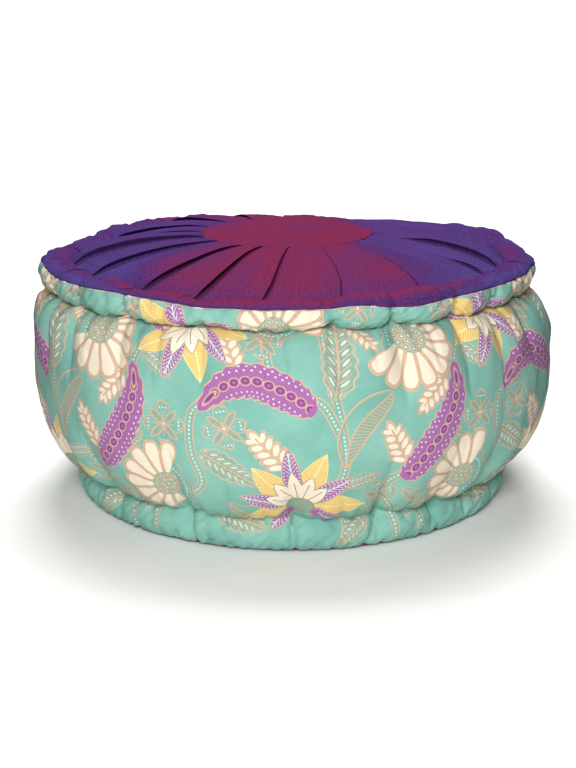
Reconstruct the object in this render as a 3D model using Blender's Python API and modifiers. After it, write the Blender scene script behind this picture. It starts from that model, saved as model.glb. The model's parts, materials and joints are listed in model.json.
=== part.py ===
"""Round meditation cushion (zafu) with rolled edges.

A filled drum of printed cotton, a pleated top sewn round a plain disc, and a plain round underside.
The cloth is caught with stitches under both rims, which makes a lumpy roll along each rim and
pulls the side in at every stitch. Metres, +Z up, the front towards -Y, the floor at z = 0.
"""

import math
from typing import NamedTuple

import bmesh
import bpy

# Driving dimensions
WIDTH = 0.400
HEIGHT = 0.2005
CLOTH = 0.0025
GAP = 0.0003

# Rolled edges: the centre line's radius and height, and the roll's own radius
TOP_ROLL = {"radius": 0.1785, "height": 0.1755, "thick": 0.0120}
FOOT_ROLL = {"radius": 0.1595, "height": 0.0125, "thick": 0.0125}
TOP_SEAM = math.radians(24)
FOOT_SEAM = math.radians(-62)
SEAM_GAP = math.radians(1.5)

# Top: the plain disc, and the crown that falls from it to the stitched groove inside the roll
DISC_RADIUS = 0.065
GROOVE_RADIUS = 0.1660
GROOVE_HEIGHT = 0.1800
CROWN_POWER = 3.0

# Underside: flat where it rests, then a groove inside the roll
REST_RADIUS = 0.138
FOOT_GROOVE = (0.1440, 0.0040)

# Knife pleats
PLEATS = 18
PLEAT_PITCH = 2 * math.pi / PLEATS
PLEAT_TWIST = math.radians(7)
PLEAT_STRETCH = 1.10
PLEAT_ROUND = 0.62

# Points round the cushion: each pleat takes a whole number of them
STEPS_PER_PLEAT = 6
STEPS = PLEATS * STEPS_PER_PLEAT
STEP = 2 * math.pi / STEPS

# How sharply the cloth rises again beside a stitch, and the mean of that rise
SWELL_POWER = 0.55
SWELL_MEAN = 0.72

SHARP_ANGLE = math.radians(60)

SILK_VIOLET = (0.16, 0.04, 0.22, 1.0)
SILK_MAGENTA = (0.26, 0.03, 0.11, 1.0)
SILK_DARK = (0.10, 0.02, 0.08, 1.0)
PRINT_AQUA = (0.16, 0.45, 0.38, 1.0)


class Stitch(NamedTuple):
    """A place where thread pulls the cloth in: degrees from the front, to the right, and strength."""

    angle: float
    strength: float


TOP_STITCHES = (
    Stitch(-163, 0.9),
    Stitch(-150, 0.7),
    Stitch(-133, 1.0),
    Stitch(-120, 0.8),
    Stitch(-103, 1.0),
    Stitch(-90, 0.7),
    Stitch(-77, 0.9),
    Stitch(-63, 0.8),
    Stitch(-53, 1.0),
    Stitch(-37, 0.9),
    Stitch(-17, 0.7),
    Stitch(10, 1.0),
    Stitch(23, 0.9),
    Stitch(40, 1.0),
    Stitch(50, 0.8),
    Stitch(63, 0.9),
    Stitch(77, 0.7),
    Stitch(93, 1.0),
    Stitch(107, 0.8),
    Stitch(120, 0.9),
    Stitch(137, 1.0),
    Stitch(150, 0.7),
    Stitch(163, 0.9),
    Stitch(180, 0.8),
)

FOOT_STITCHES = (
    Stitch(-157, 0.8),
    Stitch(-140, 1.0),
    Stitch(-123, 0.8),
    Stitch(-107, 0.9),
    Stitch(-93, 0.7),
    Stitch(-77, 1.0),
    Stitch(-60, 0.8),
    Stitch(-50, 0.9),
    Stitch(-27, 1.0),
    Stitch(0, 0.9),
    Stitch(20, 1.0),
    Stitch(37, 0.8),
    Stitch(50, 0.9),
    Stitch(67, 1.0),
    Stitch(83, 0.8),
    Stitch(100, 0.9),
    Stitch(117, 0.7),
    Stitch(133, 1.0),
    Stitch(150, 0.8),
    Stitch(170, 0.9),
)


class Station(NamedTuple):
    """One point of a section, and what the stitches and pleats do to it there.

    lean is the outward normal's angle above the horizontal. top and foot are how far the cloth moves
    along that normal between a stitch and the middle of a lobe. pleat is the height of the folds, and
    twist the share of their slant.
    """

    radius: float
    height: float
    lean: float
    top: float = 0.0
    foot: float = 0.0
    pleat: float = 0.0
    twist: float = 0.0


class Crown(NamedTuple):
    """A ring of the pleated top: its radius, and the height of the folds there."""

    radius: float
    pleat: float


CROWN_RINGS = (
    Crown(0.0653, 0.0008),
    Crown(0.0800, 0.0020),
    Crown(0.0980, 0.0030),
    Crown(0.1160, 0.0038),
    Crown(0.1320, 0.0044),
    Crown(0.1450, 0.0046),
    Crown(0.1550, 0.0042),
    Crown(0.1620, 0.0028),
)


class Side(NamedTuple):
    """A ring of the barrel side, with the pull of the stitches above it and below it.

    lean is the way the stitches pull. Below level, a stitch draws the cloth in and up.
    """

    radius: float
    height: float
    lean: float
    top: float
    foot: float


SIDE_RINGS = (
    Side(0.1838, 0.1628, -35, 0.0080, 0.0),
    Side(0.1876, 0.1598, -35, 0.0086, 0.0),
    Side(0.1922, 0.1540, -25, 0.0074, 0.0),
    Side(0.1957, 0.1430, -8, 0.0052, 0.0),
    Side(0.1985, 0.1290, 0, 0.0034, 0.0003),
    Side(WIDTH / 2, 0.1100, 0, 0.0021, 0.0008),
    Side(0.1993, 0.0870, 0, 0.0012, 0.0014),
    Side(0.1965, 0.0710, -4, 0.0006, 0.0024),
    Side(0.1925, 0.0585, -8, 0.0003, 0.0036),
    Side(0.1862, 0.0445, -12, 0.0, 0.0052),
    Side(0.1798, 0.0340, -15, 0.0, 0.0068),
    Side(0.1740, 0.0282, -20, 0.0, 0.0074),
    Side(0.1672, 0.0252, -10, 0.0, 0.0066),
)


def crown_height(radius):
    """Height of the smooth crown at a radius."""
    fall = (radius / GROOVE_RADIUS) ** CROWN_POWER
    return GROOVE_HEIGHT + (HEIGHT - GROOVE_HEIGHT) * (1 - fall)


def crown_lean(radius):
    """Angle of the crown's normal above the horizontal."""
    rise = (HEIGHT - GROOVE_HEIGHT) * CROWN_POWER
    slope = rise * radius ** (CROWN_POWER - 1) / GROOVE_RADIUS**CROWN_POWER
    return math.pi / 2 - math.atan(slope)


def crown_station(radius, pleat=0.0):
    """A station on the crown. The folds slant more towards the disc."""
    twist = (GROOVE_RADIUS - radius) / (GROOVE_RADIUS - DISC_RADIUS)
    return Station(
        radius,
        crown_height(radius),
        crown_lean(radius),
        pleat=pleat,
        twist=max(0.0, twist) if pleat else 0.0,
    )


def roll_station(roll, angle, thick=None, top=0.0, foot=0.0):
    """A station on a rolled edge, at an angle above its outward side."""
    thick = roll["thick"] if thick is None else thick
    return Station(
        roll["radius"] + thick * math.cos(angle),
        roll["height"] + thick * math.sin(angle),
        angle,
        top,
        foot,
    )


def side_station(ring):
    """The station of a row of SIDE_RINGS."""
    return Station(ring.radius, ring.height, math.radians(ring.lean), ring.top, ring.foot)


def inset(station, depth):
    """The same station, moved in along its normal and without its folds."""
    return station._replace(
        radius=station.radius - depth * math.cos(station.lean),
        height=station.height - depth * math.sin(station.lean),
        pleat=0.0,
        twist=0.0,
    )


def snapped(stitches):
    """The stitches as (angle in radians, strength), on the nearest points round the cushion."""
    return sorted((round(math.radians(s.angle) / STEP) * STEP, s.strength) for s in stitches)


def swell(angle, stitches):
    """Rise of the cloth between two stitches, against its mean: low at a stitch, full midway."""
    rows = snapped(stitches)
    first, last = rows[0], rows[-1]
    turn = 2 * math.pi
    rows = [(last[0] - turn, last[1]), *rows, (first[0] + turn, first[1])]
    for (low, low_pull), (high, high_pull) in zip(rows, rows[1:]):
        if low - STEP / 4 <= angle < high - STEP / 4:
            share = min(1.0, max(0.0, (angle - low) / (high - low)))
            pull = low_pull + (high_pull - low_pull) * share
            return pull * (math.sin(math.pi * share) ** SWELL_POWER - SWELL_MEAN)
    return 0.0


def pleat_share(step):
    """Place of a point within its pleat, from 0 at the valley to nearly 1 at the folded edge."""
    return (step % STEPS_PER_PLEAT) / STEPS_PER_PLEAT * PLEAT_STRETCH


def pleat_depth(step):
    """How deep the fold of this point's pleat is: fuller on the left, flatter at the front."""
    middle = (step // STEPS_PER_PLEAT + 0.5) * PLEAT_PITCH
    return 0.85 - 0.35 * math.sin(middle) + 0.15 * math.sin(3 * middle + 1.0)


def placed(station, step):
    """Where a station's point lies at a step round the cushion."""
    turn = (step + STEPS // 2) % STEPS - STEPS // 2
    angle = turn * STEP
    out = station.top * swell(angle, TOP_STITCHES) + station.foot * swell(angle, FOOT_STITCHES)
    if station.pleat:
        share = pleat_share(step)
        out += station.pleat * pleat_depth(step) * share**PLEAT_ROUND
        spread = (share - (step % STEPS_PER_PLEAT) / STEPS_PER_PLEAT) * PLEAT_PITCH
        angle += spread * station.twist + PLEAT_TWIST * station.twist
    radius = station.radius + out * math.cos(station.lean)
    height = station.height + out * math.sin(station.lean)
    return radius * math.sin(angle), -radius * math.cos(angle), height


def material(name, colour, roughness):
    """A plain Principled material."""
    made = bpy.data.materials.new(name)
    made.use_nodes = True
    shader = made.node_tree.nodes["Principled BSDF"]
    shader.inputs["Base Color"].default_value = colour
    shader.inputs["Roughness"].default_value = roughness
    shader.inputs["Metallic"].default_value = 0.0
    return made


def turned(name, stations, closed, collection, finish):
    """Turns a section with a Screw modifier, then lets the stitches and pleats move its points.

    A closed section is a ring, and an open one starts and ends on the axis.
    """
    mesh = bpy.data.meshes.new(name)
    count = len(stations)
    edges = [(i, i + 1) for i in range(count - 1)]
    if closed:
        edges.append((count - 1, 0))
    mesh.from_pydata([(s.radius, 0.0, s.height) for s in stations], edges, [])
    rows = mesh.attributes.new("station", "INT", "POINT")
    rows.data.foreach_set("value", list(range(count)))
    guide = bpy.data.objects.new(name + "_section", mesh)
    collection.objects.link(guide)
    screw = guide.modifiers.new("turn", "SCREW")
    screw.axis = "Z"
    screw.angle = 2 * math.pi
    screw.steps = STEPS
    screw.render_steps = STEPS
    screw.use_merge_vertices = True
    screw.merge_threshold = 0.00001
    screw.use_smooth_shade = True
    bpy.context.view_layer.update()
    graph = bpy.context.evaluated_depsgraph_get()
    made = bpy.data.meshes.new_from_object(guide.evaluated_get(graph))
    bpy.data.objects.remove(guide)
    made.name = name
    for vertex, row in zip(made.vertices, made.attributes["station"].data):
        x, y, _ = vertex.co
        if math.hypot(x, y) < GAP:
            continue
        step = round(math.atan2(x, -y) / STEP) % STEPS
        vertex.co = placed(stations[row.value], step)
    made.attributes.remove(made.attributes["station"])
    solid = bmesh.new()
    solid.from_mesh(made)
    bmesh.ops.triangulate(solid, faces=solid.faces[:])
    solid.to_mesh(made)
    solid.free()
    made.materials.append(finish)
    piece = bpy.data.objects.new(name, made)
    collection.objects.link(piece)
    made.shade_smooth()
    made.set_sharp_from_angle(angle=SHARP_ANGLE)
    return piece


def top_roll_cover(thick):
    """Stations over the roll, from its inner groove to the seam on its outer side."""
    lumps = ((150, 0.0030), (120, 0.0036), (90, 0.0040), (65, 0.0040), (43, 0.0040))
    rows = [
        roll_station(TOP_ROLL, math.radians(angle), thick, top=lump) for angle, lump in lumps
    ]
    rows.append(roll_station(TOP_ROLL, TOP_SEAM, thick, top=0.0040))
    return rows


def groove_station():
    """The stitched valley between the pleats and the roll."""
    return Station(GROOVE_RADIUS, GROOVE_HEIGHT, math.radians(75), top=0.0025)


def foot_roll_rest():
    """Stations under the foot roll, from the seam to the groove inside it. They rest on the floor."""
    rows = [roll_station(FOOT_ROLL, math.radians(a)) for a in (-90, -120, -150)]
    rows.append(Station(*FOOT_GROOVE, math.radians(-90)))
    rows.append(Station(REST_RADIUS, 0.0, math.radians(-90)))
    return rows


def pleated_top_stations():
    """Section of the pleated cloth: its face, then its back a cloth's thickness below."""
    face = [crown_station(ring.radius, ring.pleat) for ring in CROWN_RINGS]
    face.append(groove_station())
    face += top_roll_cover(None)
    back = [inset(s, CLOTH) for s in (face[-1], face[-4], face[-6], face[8])]
    back.append(inset(crown_station(0.120), CLOTH))
    back.append(inset(crown_station(CROWN_RINGS[0].radius), CLOTH))
    return face + back


def top_disc_stations():
    """Section of the plain disc, level with the pleats that start at its edge."""
    radii = (0.0, 0.024, 0.045, 0.060)
    face = [crown_station(radius) for radius in radii]
    edge = crown_station(DISC_RADIUS)
    face.append(inset(edge, 0.0004))
    back = [inset(edge, CLOTH), inset(crown_station(0.0), CLOTH)]
    return face + back


def base_stations():
    """Section of the underside: its back, then its face on the floor."""
    edge = roll_station(FOOT_ROLL, FOOT_SEAM - math.radians(1), foot=0.0006)
    face = [edge, *foot_roll_rest(), Station(0.0, 0.0, math.radians(-90))]
    back = [inset(s, CLOTH) for s in reversed(face)]
    return back + face


def drum_stations():
    """Section of the filled drum, whose side and rolls are the printed cloth."""
    under = CLOTH + GAP
    seam = roll_station(TOP_ROLL, TOP_SEAM - SEAM_GAP, top=0.0040)
    cover = top_roll_cover(None)
    hidden_top = [inset(crown_station(radius), under) for radius in (0.0, 0.0653, 0.120)]
    hidden_top += [inset(s, under) for s in (groove_station(), cover[0], cover[2], seam)]
    roll_side = [
        roll_station(TOP_ROLL, math.radians(angle), top=lump)
        for angle, lump in ((4, 0.0042), (-16, 0.0046), (-36, 0.0055), (-54, 0.0065))
    ]
    side = [side_station(ring) for ring in SIDE_RINGS]
    foot_side = [
        roll_station(FOOT_ROLL, math.radians(angle), foot=lump)
        for angle, lump in ((44, 0.0050), (20, 0.0042), (-4, 0.0032), (-28, 0.0020), (-46, 0.0011))
    ]
    foot_seam = roll_station(FOOT_ROLL, FOOT_SEAM + SEAM_GAP, foot=0.0006)
    hidden_foot = [inset(s, under) for s in (foot_seam, *foot_roll_rest())]
    hidden_foot.append(inset(Station(0.0, 0.0, math.radians(-90)), under))
    return hidden_top + [seam, *roll_side, *side, *foot_side, foot_seam] + hidden_foot


def clear_scene():
    """Removes the startup scene's objects."""
    for old in list(bpy.data.objects):
        bpy.data.objects.remove(old)


def main():
    clear_scene()
    cushion = bpy.data.collections.new("meditation_cushion")
    bpy.context.scene.collection.children.link(cushion)
    cotton = material("print_cotton", PRINT_AQUA, 0.85)
    pleat_silk = material("pleat_silk", SILK_VIOLET, 0.6)
    disc_silk = material("disc_silk", SILK_MAGENTA, 0.6)
    base_silk = material("base_silk", SILK_DARK, 0.7)
    turned("printed_drum", drum_stations(), False, cushion, cotton)
    turned("pleated_top", pleated_top_stations(), True, cushion, pleat_silk)
    turned("top_disc", top_disc_stations(), False, cushion, disc_silk)
    turned("base_panel", base_stations(), False, cushion, base_silk)


main()
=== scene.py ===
"""Looks of a round, pleated floor cushion.

A filled drum of printed cotton with rolled and stitched rims, a ring of shot silk in knife pleats round
a plain disc, and a plain underside. Metres, +Z up, the front towards -Y. Angles run round the cushion
from the front towards +X. The print's own sizes are in millimetres of cloth.
"""

import json
import logging
import math
from dataclasses import dataclass, field
from enum import Enum
from typing import Callable, NamedTuple, Optional, Sequence, Union

import bpy
import numpy as np
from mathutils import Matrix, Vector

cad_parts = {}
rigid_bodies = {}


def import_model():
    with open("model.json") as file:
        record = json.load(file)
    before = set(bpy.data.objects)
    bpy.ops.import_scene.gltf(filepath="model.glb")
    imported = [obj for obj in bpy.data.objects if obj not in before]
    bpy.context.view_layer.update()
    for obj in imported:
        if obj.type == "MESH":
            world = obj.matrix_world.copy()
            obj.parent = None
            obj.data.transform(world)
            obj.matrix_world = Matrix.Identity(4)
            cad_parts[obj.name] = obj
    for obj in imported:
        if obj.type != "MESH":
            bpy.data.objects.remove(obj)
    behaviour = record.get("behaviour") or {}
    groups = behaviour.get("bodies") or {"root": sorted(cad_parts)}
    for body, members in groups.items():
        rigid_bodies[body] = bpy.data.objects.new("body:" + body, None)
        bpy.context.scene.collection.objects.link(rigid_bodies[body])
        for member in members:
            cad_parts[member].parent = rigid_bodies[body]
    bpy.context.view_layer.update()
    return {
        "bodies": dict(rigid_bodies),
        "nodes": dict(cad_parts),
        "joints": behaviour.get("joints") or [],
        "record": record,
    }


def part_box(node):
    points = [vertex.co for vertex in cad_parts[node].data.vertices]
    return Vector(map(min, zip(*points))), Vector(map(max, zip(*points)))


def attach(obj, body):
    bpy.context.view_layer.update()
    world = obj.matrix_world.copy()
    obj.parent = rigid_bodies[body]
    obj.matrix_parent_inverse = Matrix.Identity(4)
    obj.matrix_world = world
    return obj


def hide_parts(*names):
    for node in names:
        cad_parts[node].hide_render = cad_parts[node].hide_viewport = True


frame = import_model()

LOG = logging.getLogger("cushion")
Array = np.ndarray
Point2 = tuple[float, float]
Colour = tuple[float, float, float, float]
Frame = tuple[float, float, float, float]
Mesh = bpy.types.Mesh
Material = bpy.types.Material
Node = bpy.types.Node
Socket = bpy.types.NodeSocket
Thing = bpy.types.Object
Tree = bpy.types.NodeTree

BODY = "root"
MM = 0.001
TURN = 2 * math.pi


def srgb(code: str) -> Colour:
    """A linear colour from six hexadecimal digits."""
    parts = [int(code[i : i + 2], 16) / 255 for i in (0, 2, 4)]
    linear = [p / 12.92 if p <= 0.04045 else ((p + 0.055) / 1.055) ** 2.4 for p in parts]
    return (*linear, 1.0)


class Stitch(NamedTuple):
    """A place where thread pulls the cloth in: degrees from the front, and strength."""

    angle: float
    pull: float


TOP_STITCHES = (
    Stitch(-163, 0.9), Stitch(-150, 0.7), Stitch(-133, 1.0), Stitch(-120, 0.8), Stitch(-103, 1.0),
    Stitch(-90, 0.7), Stitch(-78, 0.9), Stitch(-64.5, 0.8), Stitch(-52.5, 1.0), Stitch(-37.5, 0.9),
    Stitch(-18, 0.7), Stitch(9.6, 1.2), Stitch(23, 0.9), Stitch(39, 1.0), Stitch(50, 0.8),
    Stitch(63, 0.9), Stitch(77, 0.7), Stitch(93, 1.0), Stitch(107, 0.8), Stitch(120, 0.9),
    Stitch(137, 1.0), Stitch(150, 0.7), Stitch(163, 0.9), Stitch(180, 0.8),
)

FOOT_STITCHES = (
    Stitch(-157, 0.8), Stitch(-140, 1.0), Stitch(-123, 0.8), Stitch(-107, 0.9), Stitch(-93, 0.7),
    Stitch(-77, 1.0), Stitch(-62, 0.8), Stitch(-49.5, 0.9), Stitch(-25.4, 1.0), Stitch(0, 0.9),
    Stitch(20.8, 1.0), Stitch(37, 0.8), Stitch(50, 0.9), Stitch(67, 1.0), Stitch(83, 0.8),
    Stitch(100, 0.9), Stitch(117, 0.7), Stitch(133, 1.0), Stitch(150, 0.8), Stitch(170, 0.9),
)


@dataclass(frozen=True)
class Roll:
    """A rolled rim: the radius and height of its centre line, and its own radius."""

    radius: float
    height: float
    thick: float

    def row(self, degrees: float, top: float = 0.0, foot: float = 0.0) -> "Row":
        """The roll's point at an angle above its outward side.

        Args:
            degrees: Angle above the outward side.
            top: Pull of the stitches under the top roll there.
            foot: Pull of the stitches over the foot roll there.

        Returns:
            The row of a section.
        """
        angle = math.radians(degrees)
        out = self.thick * math.cos(angle)
        up = self.thick * math.sin(angle)
        return Row(self.radius + out, self.height + up, degrees, top, foot)


class Row(NamedTuple):
    """A point of a section. lean is the way the stitches push it out, in degrees above level."""

    radius: float
    height: float
    lean: float
    top: float = 0.0
    foot: float = 0.0


TOP_ROLL = Roll(0.1785, 0.1755, 0.0120)
FOOT_ROLL = Roll(0.1595, 0.0125, 0.0125)
TOP_SEAM = 24.0
FOOT_SEAM = -62.0
HALF_WIDTH = (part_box("printed_drum")[1][0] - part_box("printed_drum")[0][0]) / 2
CROWN_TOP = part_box("top_disc")[1][2]
DISC_RADIUS = (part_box("top_disc")[1][0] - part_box("top_disc")[0][0]) / 2
GROOVE_RADIUS = 0.1660
GROOVE_HEIGHT = 0.1800
CROWN_POWER = 3.0
REST_RADIUS = 0.138


def crown_height(radius: Array) -> Array:
    """Height of the smooth crown at a radius."""
    return GROOVE_HEIGHT + (CROWN_TOP - GROOVE_HEIGHT) * (1 - (radius / GROOVE_RADIUS) ** CROWN_POWER)


def soften(values: Array, sigma: float) -> Array:
    """Smooths a line of values, and keeps its two ends.

    Args:
        values: Evenly spaced values.
        sigma: Width of the smoothing, in steps.

    Returns:
        The smoothed values.
    """
    reach = max(1, int(3 * sigma))
    kernel = np.exp(-0.5 * (np.arange(-reach, reach + 1) / sigma) ** 2)
    before = 2 * values[0] - values[reach:0:-1]
    after = 2 * values[-1] - values[-2 : -reach - 2 : -1]
    padded = np.concatenate([before, values, after])
    return np.convolve(padded, kernel / kernel.sum(), mode="valid")


class Section:
    """A line in the plane of radius and height, softened, that is read by its arc length."""

    STEP = 0.0004

    def __init__(self, rows: Sequence[Row], start: int = 0, sigma: float = 0.0014) -> None:
        """Resamples the rows evenly.

        Args:
            rows: The section's points, from the middle of the top outwards and down.
            start: The row whose arc length is 0.
            sigma: Arc length over which corners are rounded, in metres.
        """
        table = np.array(rows, float)
        lengths = np.hypot(np.diff(table[:, 0]), np.diff(table[:, 1]))
        knots = np.concatenate([[0.0], np.cumsum(lengths)])
        arc = np.arange(0.0, knots[-1], self.STEP)
        columns = [np.interp(arc, knots, table[:, i]) for i in range(table.shape[1])]
        radius, height, lean, top, foot = [soften(c, sigma / self.STEP) for c in columns]
        self.arc = arc - knots[start]
        self.end = float(self.arc[-1])
        slope_r, slope_z = np.gradient(radius), np.gradient(height)
        size = np.hypot(slope_r, slope_z)
        self.lines = {
            "radius": radius,
            "height": height,
            "out_r": -slope_z / size,
            "out_z": slope_r / size,
            "lean_r": np.cos(np.radians(lean)),
            "lean_z": np.sin(np.radians(lean)),
            "top": top,
            "foot": foot,
        }

    def at(self, name: str, arc: Array) -> Array:
        """One of the section's values at some arc lengths."""
        return np.interp(arc, self.arc, self.lines[name])


class Ripple:
    """Smooth, uneven waves over a cloth that goes right round."""

    def __init__(self, seed: int, around: Point2, along: Point2, waves: int = 24) -> None:
        """Draws the waves.

        Args:
            seed: Seed of the random draws.
            around: Fewest and most waves in a turn.
            along: Shortest and longest wave down the cloth, in metres.
            waves: How many waves are added up.
        """
        draw = np.random.default_rng(seed)
        self.count = draw.integers(int(around[0]), int(around[1]) + 1, waves)
        pace = TURN / draw.uniform(along[0], along[1], waves)
        self.pace = pace * draw.choice([-1.0, 1.0], waves)
        self.phase = draw.uniform(0, TURN, waves)

    def __call__(self, angle: Array, arc: Array) -> Array:
        """The waves' height at a place.

        Args:
            angle: Angles round the cushion.
            arc: Arc lengths.

        Returns:
            The height, about -1 to 1.
        """
        total = 0.0
        for count, pace, phase in zip(self.count, self.pace, self.phase):
            total = total + np.cos(count * angle + pace * arc + phase)
        return total * math.sqrt(0.5 / len(self.count))


def around_from(angle: Array, centre: float) -> Array:
    """Signed turn from a centre to each angle, in radians from -pi to pi."""
    return (angle - centre + math.pi) % TURN - math.pi


def ramp(values: Array, low: float, high: float) -> Array:
    """A share that goes straight from 0 at low to 1 at high."""
    return np.clip((values - low) / (high - low), 0, 1)


def smooth(values: Array, low: float = 0.0, high: float = 1.0) -> Array:
    """A share that eases out of 0 at low and into 1 at high."""
    share = ramp(values, low, high)
    return share * share * (3 - 2 * share)


def hill(distance: Array, width: Union[Array, float], power: int = 2) -> Array:
    """Height of a smooth hill, which is 1 in its middle, at a distance from there."""
    return np.exp(-(np.abs(distance / width) ** power))


def bulge(angle: Array, middle: float, width: float, power: int = 2) -> Array:
    """Height of a smooth hill round the cushion, whose middle and width are in degrees."""
    return hill(around_from(angle, math.radians(middle)), math.radians(width), power)


class Hill(NamedTuple):
    """A smooth rise on both sides: middle and width in degrees from the front, height in metres."""

    middle: float
    width: float
    height: float


# How far wear has let the real cushion settle
REAR_SLOPE = 0.0018
REAR_SAG = (Hill(98, 14, 0.0018), Hill(127, 16, -0.0030))
REAR_SKEW = (Hill(113, 12, 0.0037), Hill(151, 15, -0.0039))
FOOT_DRAW = (Hill(0, 20, 0.0015), Hill(70, 40, -0.0050))
RIM_DRAW = (Hill(90, 40, -0.0018),)
FRONT_DROP = 0.0050
CREST_SQUASH = 0.30
TOP_SHIFT = 0.0036


def hills(aside: Array, rows: Sequence[Hill]) -> Array:
    """Height of some hills together, at angles in degrees from the front."""
    return sum(row.height * hill(aside - row.middle, row.width) for row in rows)


def front_rim(angle: Array) -> Array:
    """Where the rim in front is rolled over further, from 0 to 1."""
    return bulge(angle, -12, 24, 4)


def settled(points: Array) -> Array:
    """Sags the rim behind, and draws the foot in at its sides, as wear has done to the real one.

    Args:
        points: Points, with x, y and z in the last axis.

    Returns:
        The points, moved by a few millimetres.
    """
    x, y, z = points[..., 0], points[..., 1], points[..., 2]
    radius = np.hypot(x, y)
    aside = np.degrees(np.abs(np.arctan2(x, -y)))
    high, outer = smooth(z, 0.125, 0.165), smooth(radius, 0.07, 0.15)
    low = smooth(z, 0.065, 0.020) * ramp(radius, 0.08, 0.13)
    skew = hills(aside, REAR_SKEW) * np.tanh(x / 0.03)
    sag = REAR_SLOPE * ramp(aside, 80, 140) + hills(aside, REAR_SAG) - skew
    draw = hills(aside, FOOT_DRAW) * low + hills(aside, RIM_DRAW) * high * outer
    share = 1 + draw / np.maximum(radius, 0.02)
    crest = CREST_SQUASH * np.maximum(z - 0.1804, 0) * ramp(radius, 0.163, 0.170)
    front = FRONT_DROP * front_rim(np.arctan2(x, -y)) * smooth(z, 0.160, 0.178)
    drop = crest + (sag * high + front) * outer
    return np.stack([x * share - TOP_SHIFT * high, y * share, z - drop], -1)


def spot(radius: Array, angle: Array, height: Array) -> Array:
    """Points at a radius, an angle and a height, with x, y and z in the last axis."""
    return np.stack(np.broadcast_arrays(radius * np.sin(angle), -radius * np.cos(angle), height), -1)


def full_turn(columns: int) -> Array:
    """Angles of evenly spaced columns round the cushion, with the first again at the end."""
    return np.linspace(-math.pi, math.pi, columns + 1)


@dataclass(frozen=True)
class Gathering:
    """How one row of stitches gathers the cloth beside it."""

    stitches: tuple[Stitch, ...]
    sharp: float = 0.55
    blunt: float = 1.3
    calm: float = 0.045

    def swell(self, angle: Array, distance: Array) -> Array:
        """Rise of the cloth between two stitches, against its mean.

        Args:
            angle: Angles round the cushion.
            distance: Distance down the cloth from the stitches, in metres.

        Returns:
            Low at a stitch and full midway, as a share of the pull.
        """
        rows = sorted(self.stitches)
        angles = np.radians([rows[-1].angle - 360] + [s.angle for s in rows] + [rows[0].angle + 360])
        pulls = np.array([rows[-1].pull] + [s.pull for s in rows] + [rows[0].pull])
        place = around_from(angle, 0.0)
        index = np.clip(np.searchsorted(angles, place, side="right") - 1, 0, len(angles) - 2)
        share = (place - angles[index]) / (angles[index + 1] - angles[index])
        pull = pulls[index] + (pulls[index + 1] - pulls[index]) * share
        power = self.sharp + (self.blunt - self.sharp) * np.clip(distance / self.calm, 0, 1)
        rise = np.sin(math.pi * np.clip(share, 0, 1)) ** power
        return pull * (rise - (0.82 - 0.18 * power))

    def folds(self, angle: Array, distance: Array, radius: float, seed: int) -> Array:
        """Small folds that spread like a fan from each stitch, and the crease at the stitch itself.

        Args:
            angle: Angles round the cushion.
            distance: Distance from the stitches, in metres, at 0 or more where the folds lie.
            radius: Radius of the cloth there.
            seed: Seed of each fan's shift.

        Returns:
            Their height, about -2 to 1.
        """
        draw = np.random.default_rng(seed)
        far = np.maximum(distance, 0.0)
        total = np.zeros(np.broadcast(angle, distance).shape)
        for stitch in self.stitches:
            shift, folds, reach = draw.uniform(0, TURN), draw.uniform(7, 11), draw.uniform(0.018, 0.034)
            slant, long = draw.uniform(-0.25, 0.25), draw.uniform(0.010, 0.030)
            across = radius * around_from(angle, math.radians(stitch.angle)) + slant * far
            fan = across / (far + 0.010)
            waves = np.cos(fan * folds + shift) * hill(fan, 0.75) * np.exp(-far / reach)
            crease = np.exp(-np.abs(across) / 0.0028) * np.exp(-far / long)
            trough = hill(across, 0.0045 + 0.14 * far) * np.exp(-far / 0.045)
            total += stitch.pull * (waves - 1.6 * crease - 2.0 * trough)
        return total * (distance >= 0)


TOP_GATHERS = Gathering(TOP_STITCHES)
FOOT_GATHERS = Gathering(FOOT_STITCHES)
SEAM_WAVE = Ripple(11, (5, 30), (0.5, 1.0), 16)


def seam_shift(angle: Array) -> Array:
    """How far the top seam wanders down the roll, in metres."""
    rise = bulge(angle, -37, 14) + 0.8 * bulge(angle, -78, 11)
    down = 0.0048 * bulge(angle, 26.5, 7) - 0.0044 * front_rim(angle) - 0.0032 * rise
    return 0.0010 * SEAM_WAVE(angle, 0.0) + down


class Skin:
    """A cloth on its section: where a point of it lies in space."""

    def __init__(self, section: Section, top_groove: float, foot_groove: float) -> None:
        """Takes the cloth's section.

        Args:
            section: The section.
            top_groove: Arc length of the stitches under the top roll.
            foot_groove: Arc length of the stitches over the foot roll.
        """
        self.section = section
        self.top_groove = top_groove
        self.foot_groove = foot_groove

    def place(self, angle: Array, arc: Array, relief: Union[Array, float] = 0.0) -> Array:
        """Places of points on the cloth.

        Args:
            angle: Angles round the cushion.
            arc: Arc lengths down the section.
            relief: Height above the plain cloth, in metres.

        Returns:
            Points, with x, y and z in the last axis.
        """
        at = self.section.at
        pull = at("top", arc) * TOP_GATHERS.swell(angle, np.abs(arc - self.top_groove))
        pull = pull + at("foot", arc) * FOOT_GATHERS.swell(angle, np.abs(arc - self.foot_groove))
        radius = at("radius", arc) + pull * at("lean_r", arc) + relief * at("out_r", arc)
        height = at("height", arc) + pull * at("lean_z", arc) + relief * at("out_z", arc)
        return spot(radius, angle, height)


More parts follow.
